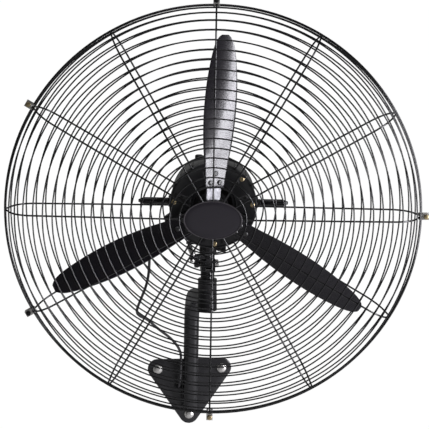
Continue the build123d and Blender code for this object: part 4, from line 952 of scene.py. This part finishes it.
crank_place = drive_place @ turning(CRANK_TURN)
crank_web = hull_plate("crank_web", ((0, 0, 8.0), (CRANK_THROW, 0, 5.5)), -103.2, -98.2)
crank_web = settled(crank_web, crank_place, 0.6)
crank_pin = turned_piece("crank_pin", 32, ((2.7, -106.2), (3.0, -105.8), (3.0, -103.0)))
crank_pin = settled(crank_pin, crank_place @ at(CRANK_THROW))
crank_shaft = turned_piece("crank_shaft", 40, ((5.0, -99.0), (5.0, 6.4), (4.5, 7.0)))
crank_shaft = settled(crank_shaft, crank_place)
crank = joined("crank_arm", [crank_web, crank_pin, crank_shaft])
rides(crank, "crank", "black_oxide", black_oxide, "crank")

pin_outline = (
    (2.6, -121.3), (3.0, -120.9), (3.0, -106.3), (4.9, -106.3), (5.2, -106.0), (5.2, -104.4), (4.6, -103.8),
)
anchor_way = swing_top @ anchor_place
shoulder_pin = settled(turned_piece("link_shoulder_pin", 40, pin_outline), anchor_way, 0.1)
pin_nut = hex_head("pin_nut", 8.6, 4.38, anchor_way @ at(z=-121.28), 3.02)
rides(joined("link_shoulder_pin", [shoulder_pin, pin_nut]), "neck", "zinc", bright_zinc, "link_pin")


# ---- Handles, terminal box and gland ----
# Two turned bars screwed into the motor's sides to aim the head by, and a small cast box at
# the lower left with a screwed gland that pinches the cable.
handle_outline = (
    (3.6, MOTOR_RADIUS - 3), (4.0, MOTOR_RADIUS - 2.4), (4.0, 79.0), (5.6, 79.0), (6.2, 79.7),
    (6.2, 82.5), (5.7, 83.2), (5.7, 84.6), (6.2, 85.3), (6.2, 121.5), (5.9, 123.2), (3.4, 129.6),
    (2.9, 130.2), (2.9, 131.4), (2.3, 132.0),
)
handle = settled(turned_piece("handle", 40, handle_outline), width=0.12)
handles = repeated("horn_handle_pair", handle, [fan_place @ spot for spot in handle_spots])
handle_coat = black_coat("handle_coat", (0.008, 0.008, 0.0085), 0.2, 420, 0.03, 0.1)
rides(handles, "head", "motor_paint", handle_coat, "horn_handles")

GLAND_ANGLE, GLAND_DROP = 215, -11.0
gland_way = fan_place @ turning(GLAND_ANGLE - 90) @ turning(-90, "X") @ at(0, GLAND_DROP)
box = block("terminal_casing", (34, 13, 30), (0, 0, 81))
box.data.transform(gland_way)
cut(box, [bar("casing", 144, MOTOR_RADIUS + 0.02, SHIELD_BACK - 5, SHELL_FRONT, fan_place)])
cut(box, [bar("bore", 32, 4.6, 88, 97, gland_way)])
rides(settled(box, IN_PLACE, 1.6, 4), "head", "motor_paint", motor_coat, "terminal_box")

gland_outline = (
    (4.58, 88.0), (4.58, 96.02), (7.1, 96.02), (7.1, 100.4), (6.0, 101.0), (6.0, 105.0),
    (5.4, 107.4), (4.3, 109.6), (2.7, 110.0), (2.7, 88.0), (4.58, 88.0),
)
gland = turned_piece("gland", 48, gland_outline)
corner = 13 / 2 / cos(pi / 6)
flats = turned_piece("flats", 6, ((corner, 80.0), (corner, 101.0), (6.2, 101.2), (6.2, 112.0)))
gland = settled(cut(gland, [flats], "INTERSECT"), gland_way, 0.2)
gland_plastic = moulded_plastic("gland_plastic", (0.014, 0.014, 0.015), 0.4, 0.03)
rides(gland, "head", "black_plastic", gland_plastic, "cable_gland")


# ---- Cable boot ----
# A soft rubber sleeve, pushed over the cable up to the gland.  It tapers off along the
# cable's first 30 mm and keeps it from kinking.
boot_end = [(a + b) / 2 for a, b in zip(upper_route[1], upper_route[2])]
bpy.ops.object.select_all(action="DESELECT")
boot = nurbs_line("cable_boot", (upper_route[0], upper_route[1], boot_end), 24, (1.0, 0.78, 0.66))
thickened(boot, 4.3, 6)
boot.data.materials.append(rubber_sheath)
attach(boot, "head")


# ---- Rear wire guard ----
# The back half of the cage, of round drawn wire powder coated black: twelve spokes, rings
# spot-welded on their outside, and a thick rim that meets the front half's.
def dish(start, crown, side):
    """A spoke's line: its points and directions in the plane of radius and height."""
    inner = Vector((start, 0, crown))
    fall = CROWN_FALL * (KNEE_RADIUS - start) / KNEE_RADIUS
    knee = Vector((KNEE_RADIUS, 0, crown - side * fall))
    rim = Vector((RIM_RADIUS, 0, RIM_FORWARD + side * RIM_OFFSET))
    first, second = (knee - inner).normalized(), (rim - knee).normalized()
    bend = first.angle(second)
    arc_start = knee - first * SHOULDER * tan(bend / 2)
    arc_end = knee + second * SHOULDER * tan(bend / 2)
    inward = side * Vector((first.z, 0, -first.x))
    return inner, arc_start, arc_end, rim, first, second, bend, inward


def along(line, reach):
    """The place on a spoke's line at a length from its inner end, and its direction."""
    inner, arc_start, arc_end, _, first, second, bend, inward = line
    straight = (arc_start - inner).length
    if reach < straight:
        return inner + first * reach, first
    if reach > straight + bend * SHOULDER:
        return arc_end + second * (reach - straight - bend * SHOULDER), second
    angle = (reach - straight) / SHOULDER
    middle = arc_start + inward * SHOULDER
    spot = middle + (first * sin(angle) - inward * cos(angle)) * SHOULDER
    return spot, first * cos(angle) + inward * sin(angle)


def wire_guard(name, start, inner_rings, crown, side):
    """One half of the cage, as a single object of round wires."""
    line = dish(start, crown, side)
    inner, arc_start, arc_end, rim, first, second, bend, inward = line
    circle = bpy.ops.mesh.primitive_circle_add
    spokes = added(name, circle, vertices=12, radius=SPOKE_WIRE / 2 * MM, fill_type="NGON")
    placed(spokes, at(*inner) @ first.to_track_quat("Z", "Y").to_matrix().to_4x4())
    opened()
    drawn_out((arc_start - inner) * MM)
    bend_centre = (arc_start + inward * SHOULDER) * MM
    bpy.ops.mesh.spin(steps=14, angle=-side * bend, center=bend_centre, axis=(0, 1, 0))
    drawn_out((rim - arc_end) * MM)
    bpy.ops.mesh.select_all(action="SELECT")
    others = SPOKES - 1
    round_way = 2 * pi * others / SPOKES
    bpy.ops.mesh.spin(steps=others, angle=round_way, dupli=True, center=(0, 0, 0), axis=(0, 0, 1))
    closed_up()
    hoops = []
    length = (arc_start - inner).length + bend * SHOULDER + (rim - arc_end).length
    reaches = [radius - start for radius in inner_rings]
    while reaches[-1] + 1.5 * RING_PITCH < length:
        reaches.append(reaches[-1] + RING_PITCH)
    for reach in reaches:
        spot, way = along(line, reach)
        outwards = Vector((-side * way.z, 0, side * way.x))
        laid = spot + outwards * (SPOKE_WIRE / 2 + RING_WIRE / 2 - WELD)
        hoops.append((laid.x, laid.z, RING_WIRE, int(48 + laid.x * 0.3) // 12 * 12, 10))
    hoops.append((RIM_RADIUS, rim.z, RIM_WIRE, 180, 12))
    wires = [spokes]
    for radius, height, wire, steps, sides in hoops:
        hoop = added(
            "hoop",
            bpy.ops.mesh.primitive_torus_add,
            major_radius=radius * MM,
            minor_radius=wire / 2 * MM,
            major_segments=steps,
            minor_segments=sides,
        )
        wires.append(placed(hoop, at(z=height)))
    return settled(joined(name, wires), fan_place)


RIM_RADIUS, KNEE_RADIUS, CROWN_FALL, SHOULDER, RING_PITCH = 358.0, 338.0, 10.0, 45.0, 16.6
SPOKES, SPOKE_WIRE, RING_WIRE, RIM_WIRE, RIM_OFFSET, WELD = 12, 3.1, 2.6, 4.0, 2.02, 0.4
wire_coat = black_coat("wire_coat", (0.003, 0.003, 0.0032), 0.2, 600, 0.02, 0.03)
rear_cage = wire_guard("rear_wire_guard", start=74, inner_rings=(88.0, 110.0), crown=100.22, side=-1)
rides(rear_cage, "head", "black_wire", wire_coat, "rear_guard")


# ---- Guard plate and its screws ----
# A stamped black steel disc that the rear wires end on, with vent slots; four pan-head
# screws, passivated yellow, hold it to the motor's front cover.
ring_outline = (
    (77.0, 97.05), (77.0, 98.3), (76.3, 99.0), (72.0, 99.0), (44.0, 99.0), (42.6, 98.6),
    (40.6, 98.9), (40.0, 98.3), (40.0, 97.05), (77.0, 97.05),
)
stamped_plate = turned_piece("stamped_guard_plate", 96, ring_outline)
vents = copies(slot_bar("vent", 5, 16, 90, 110), round_spots(range(15, 360, 30), 52))
drilled(cut(stamped_plate, vents), 20, 2.52, 90, 110, plate_screw_spots)
stamped_plate = settled(stamped_plate, fan_place, 0.25)
sheet_coat = black_coat("sheet_coat", (0.009, 0.009, 0.0095), 0.3, 500, 0.03, 0.12)
rides(stamped_plate, "head", "black_sheet", sheet_coat, "guard_plate")
yellow_zinc = plated_steel("yellow_zinc", (0.62, 0.5, 0.27), (0.44, 0.36, 0.24), 0.26)
screw_seats = [fan_place @ spot @ at(z=MOTOR_FACE + 2) for spot in plate_screw_spots]
plate_screw_set = repeated("guard_plate_screws", pan_screw("screw", 4.4, 2.5, 2.6, 12), screw_seats)
rides(plate_screw_set, "head", "yellow_zinc", yellow_zinc, "plate_screws")


# ---- Hub, blades and their screws ----
# A turned steel boss with three flat arms; on each a blade of 2.2 mm pressed sheet, painted
# satin black, held by three pan-head screws; a hexagon nut locks the boss on the shaft.
BLADE_MIDDLE, ROOT_PITCH, BLADE_LENGTH, BLADE_THICK = 156.0, 30.0, 266.0, 2.2
BLADE_ANGLES = (3, 123, 243)
BLADE_ROWS = (  # radius, chord, pitch in degrees, camber
    (42.0, 36.0, 30.0, 0.0),
    (78.0, 44.0, 30.0, 0.0),
    (120.0, 55.0, 28.0, 1.6),
    (170.0, 60.0, 25.0, 2.4),
    (220.0, 56.5, 22.0, 2.4),
    (262.0, 46.5, 20.0, 1.8),
    (288.0, 36.0, 19.0, 1.2),
    (301.0, 25.0, 18.5, 0.6),
    (308.0, 11.0, 18.0, 0.2),
)
SCREW_SPOTS = ((-9.0, 52.0), (9.0, 52.0), (0.0, 68.0))


def blade_measures(radius):
    """Chord, pitch and camber at a radius, on smooth curves through the rows."""
    last = len(BLADE_ROWS) - 1
    row = min(max(sum(radius >= entry[0] for entry in BLADE_ROWS) - 1, 0), last - 1)
    before, low = BLADE_ROWS[max(row - 1, 0)], BLADE_ROWS[row]
    high, after = BLADE_ROWS[row + 1], BLADE_ROWS[min(row + 2, last)]
    share = (radius - low[0]) / (high[0] - low[0])
    found = []
    for i in (1, 2, 3):
        start_slope = (high[i] - before[i]) / (high[0] - before[0]) * (high[0] - low[0])
        end_slope = (after[i] - low[i]) / (after[0] - low[0]) * (high[0] - low[0])
        if row == 0:
            start_slope = end_slope = high[i] - low[i]
        if row == last - 1:
            end_slope = (high[i] - low[i]) * 1.7
        cubic = (2 * share**3 - 3 * share**2 + 1) * low[i] + (3 * share**2 - 2 * share**3) * high[i]
        cubic += (share**3 - 2 * share**2 + share) * start_slope + (share**3 - share**2) * end_slope
        found.append(cubic)
    return found


def pressed_blade(name):
    """A grid shaped row by row to chord, pitch and camber, then given its thickness."""
    grid = bpy.ops.mesh.primitive_grid_add
    sheet = added(name, grid, x_subdivisions=16, y_subdivisions=56, size=2)
    for vertex in sheet.data.vertices:
        across, out = vertex.co.x, (vertex.co.y + 1) / 2
        radius = BLADE_ROWS[0][0] + BLADE_LENGTH * (1 - (1 - out) ** 1.6)
        chord, pitch, camber = blade_measures(radius)
        tilt = radians(pitch)
        offset = across * chord / 2
        forward = camber * (1 - across * across) - BLADE_THICK / 2
        vertex.co = Vector(
            (
                offset * cos(tilt) + forward * sin(tilt),
                radius,
                BLADE_MIDDLE - offset * sin(tilt) + forward * cos(tilt),
            )
        ) * MM
    thick = sheet.modifiers.new("sheet", "SOLIDIFY")
    thick.thickness = BLADE_THICK * MM
    thick.offset = 0
    bpy.ops.object.modifier_apply(modifier=thick.name)
    closed_up()
    return settled(sheet, width=0.55)


blade_coat = black_coat("blade_coat", (0.0095, 0.0082, 0.0115), 0.25, 260, 0.06, 0.07)
blade_spots = [fan_place @ spot for spot in round_spots(BLADE_ANGLES, 0)]
for number, blade in enumerate(copies(pressed_blade("pressed_blade"), blade_spots), 1):
    blade.name = f"pressed_blade_{number}"
    rides(blade, "rotor", "blade_paint", blade_coat, f"blade_{number}")

root_tilt = at(z=BLADE_MIDDLE) @ turning(ROOT_PITCH, "Y")
hub_back, hub_front = 122.0, 172.0
hub_outline = (
    (21.5, hub_back), (23.0, hub_back + 1.2), (23.0, hub_back + 18), (22.2, hub_back + 19),
    (22.2, hub_front - 14), (23.0, hub_front - 13), (23.0, hub_front - 2), (22.0, hub_front),
    (12.0, hub_front), (11.5, hub_front - 0.6), (9, hub_front - 0.6),
)
hub = turned_piece("hub", 64, hub_outline)
arm_spots = [spot @ root_tilt @ at(0, 45) for spot in round_spots(BLADE_ANGLES, 0)]
cut(hub, copies(slot_bar("arm", 28, 64, -7.22, -2.22), arm_spots), "UNION")
cut(hub, [bar("bore", 48, 7.53, 110, 190)])
hub_steel = plated_steel("hub_steel", (0.14, 0.14, 0.145), (0.07, 0.07, 0.075), 0.3)
rides(settled(hub, fan_place, 0.4), "rotor", "motor_paint", hub_steel, "fan_hub")

nut_place = fan_place @ at(z=hub_front + 0.02)
nut = hex_head("hub_lock_nut", 18, 8.98, nut_place, 7.53)
collar_outline = ((11.0, 9.0), (11.0, 11.2), (10.4, 12.0), (5.02, 12.0), (5.02, 9.0), (11.0, 9.0))
collar = settled(turned_piece("collar", 48, collar_outline), nut_place, 0.2)
rides(joined("hub_lock_nut", [nut, collar]), "rotor", "zinc", bright_zinc, "hub_nut")

root_nut = hex_head("nut", 8, 4, at(z=-11.22))
root_screw = joined("root_screw", [pan_screw("screw", 4.6, 2.5, 2.6, 11.2), root_nut])
root_seats = [
    spot @ root_tilt @ at(x, y) @ Matrix.Rotation(x + y, 4, "Z")
    for spot in blade_spots
    for x, y in SCREW_SPOTS
]
dull_zinc = plated_steel("dull_zinc", (0.2, 0.2, 0.2), (0.09, 0.09, 0.09), 0.36)
rides(repeated("blade_root_screws", root_screw, root_seats), "rotor", "zinc", dull_zinc, "blade_screws")


# ---- Front wire guard ----
# The other half of the cage, its wires drawn in to the middle behind the badge plate.  It
# lifts off when the rim clips are undone.
FRONT_CROWN = 219.0
front_cage = wire_guard("front_wire_guard", start=22, inner_rings=(57.0,), crown=FRONT_CROWN, side=1)
rides(front_cage, "head", "black_wire", wire_coat, "front_guard")


# ---- Rim clips ----
# Five straps of 1.5 mm zinc-plated sheet folded round both rims, each with an M5 bolt and
# nut through its ears.
CLIP_ANGLES = (0, 90, 180, 240, 300)
CLIP_BOLT_TURNS = (0, 5, 10, 33, 37)
CLIP_BOLT_RING = 367


def folded_clip():
    """Strap: a rounded fold inside the rims, two cheeks and two ears, notched for the spoke."""
    strap = block("strap", (11, 19, 11.08), (0, 362.5, RIM_FORWARD))
    bpy.ops.object.mode_set(mode="EDIT")
    bpy.ops.mesh.select_all(action="DESELECT")
    bpy.ops.object.mode_set(mode="OBJECT")
    for edge in strap.data.edges:
        ends = [strap.data.vertices[i].co for i in edge.vertices]
        edge.select = all(end.y < 360 * MM for end in ends) and abs(ends[0].x - ends[1].x) > 5 * MM
    bpy.ops.object.mode_set(mode="EDIT")
    bpy.ops.mesh.select_mode(type="EDGE")
    bpy.ops.mesh.bevel(offset=2.2 * MM, segments=4)
    bpy.ops.mesh.select_mode(type="VERT")
    bpy.ops.object.mode_set(mode="OBJECT")
    space = block("space", (13, 21, 8.08), (0, 365, RIM_FORWARD))
    notch = block("notch", (3.8, 9, 16), (0, 356, RIM_FORWARD))
    cut(strap, [space, notch, bar("hole", 24, 2.52, 150, 166, at(0, CLIP_BOLT_RING))])
    return settled(strap, width=0.25)


clip_spots = [fan_place @ spot for spot in round_spots(CLIP_ANGLES, 0)]
rides(repeated("rim_clip_straps", folded_clip(), clip_spots), "head", "zinc", bright_zinc, "rim_clips")
ears = {
    angle: spot @ at(0, CLIP_BOLT_RING, RIM_FORWARD) @ turning(turn)
    for angle, spot, turn in zip(CLIP_ANGLES, clip_spots, CLIP_BOLT_TURNS)
}
# Painted highlight: the bolts at 90, 180 and 300 degrees are given yellow zinc to stand in for glints on
# them, while those at 0 and 240 keep the black oxide.
for name, finish, angles in (("dark", black_oxide, (0, 240)), ("bright", yellow_zinc, (90, 180, 300))):
    shank = settled(turned_piece("shank", 24, ((2.0, -11.5), (2.5, -11.0), (2.5, 5.6))))
    clip_bolt = joined("clip_bolt", [hex_head("head", 8, 3.5, at(z=5.54)), shank])
    bolt_group = repeated(f"rim_clip_bolts_{name}", clip_bolt, [ears[angle] for angle in angles])
    rides(bolt_group, "head", "black_oxide", finish, "clip_bolts")
clip_nut = hex_head("nut", 8, 4, at(z=-9.54), 2.52)
rides(repeated("rim_clip_nuts", clip_nut, ears.values()), "head", "zinc", bright_zinc, "clip_nuts")


# ---- Badge plate ----
# A bare oval plate of painted sheet with a polished raised rim; a smaller plate behind the
# spokes pinches them, pulled up by two screws.
def oval(name, half_width, half_height, outline, place=IN_PLACE):
    """A lathe-grown plate drawn out sideways into an ellipse."""
    plate = turned_piece(name, 96, outline)
    plate.scale = (half_width / half_height, 1, 1)
    bpy.ops.object.transform_apply(scale=True)
    return settled(plate, place)


badge_back = FRONT_CROWN + 1.22
badge_face = (
    (32.6, badge_back), (32.6, badge_back + 1.3), (31.6, badge_back + 1.7), (24.0, badge_back + 2.0),
    (12.0, badge_back + 2.25), (1.0, badge_back + 2.3),
)
badge_rim = (
    (33.0, badge_back + 0.1), (33.0, badge_back + 1.9), (32.7, badge_back + 2.4), (32.2, badge_back + 2.5),
    (31.7, badge_back + 2.3), (31.5, badge_back + 1.5), (32.5, badge_back + 0.1), (33.0, badge_back + 0.1),
)
badge_paint = black_coat("badge_paint", (0.0105, 0.0085, 0.0125), 0.36, 700, 0.02, 0.05)
badge = oval("badge_face", 50, 33, badge_face, fan_place)
rides(badge, "head", "badge_paint", badge_paint, "badge_plate")
rim = oval("badge_rim", 50, 33, badge_rim, fan_place)
rim_polish = plated_steel("rim_polish", (0.2, 0.19, 0.2), (0.12, 0.11, 0.12), 0.3)
rides(rim, "head", "zinc", rim_polish, "badge_plate")

clamp_front = FRONT_CROWN - 1.2 - CROWN_FALL * 100 / 3 / 360
clamp_outline = (
    (21.6, clamp_front - 2), (22, clamp_front - 1.6), (22, clamp_front - 0.4), (21.6, clamp_front),
    (5, clamp_front),
)
clamp = oval("badge_clamp_plate", 33.33, 22, clamp_outline)
clamp_spots = [at(-9), at(9)]
drilled(clamp, 20, 2.02, 200, 230, clamp_spots)
rides(settled(clamp, fan_place), "head", "black_sheet", sheet_coat, "badge_clamp")
behind_clamp = at(z=clamp_front - 2) @ turning(180, "X")
badge_screw = pan_screw("screw", 3.6, 2.0, 2.2, badge_back - clamp_front + 2, 0.8)
badge_seats = [fan_place @ spot @ behind_clamp for spot in clamp_spots]
badge_screws = repeated("badge_clamp_screws", badge_screw, badge_seats)
rides(badge_screws, "head", "zinc", bright_zinc, "badge_screws")
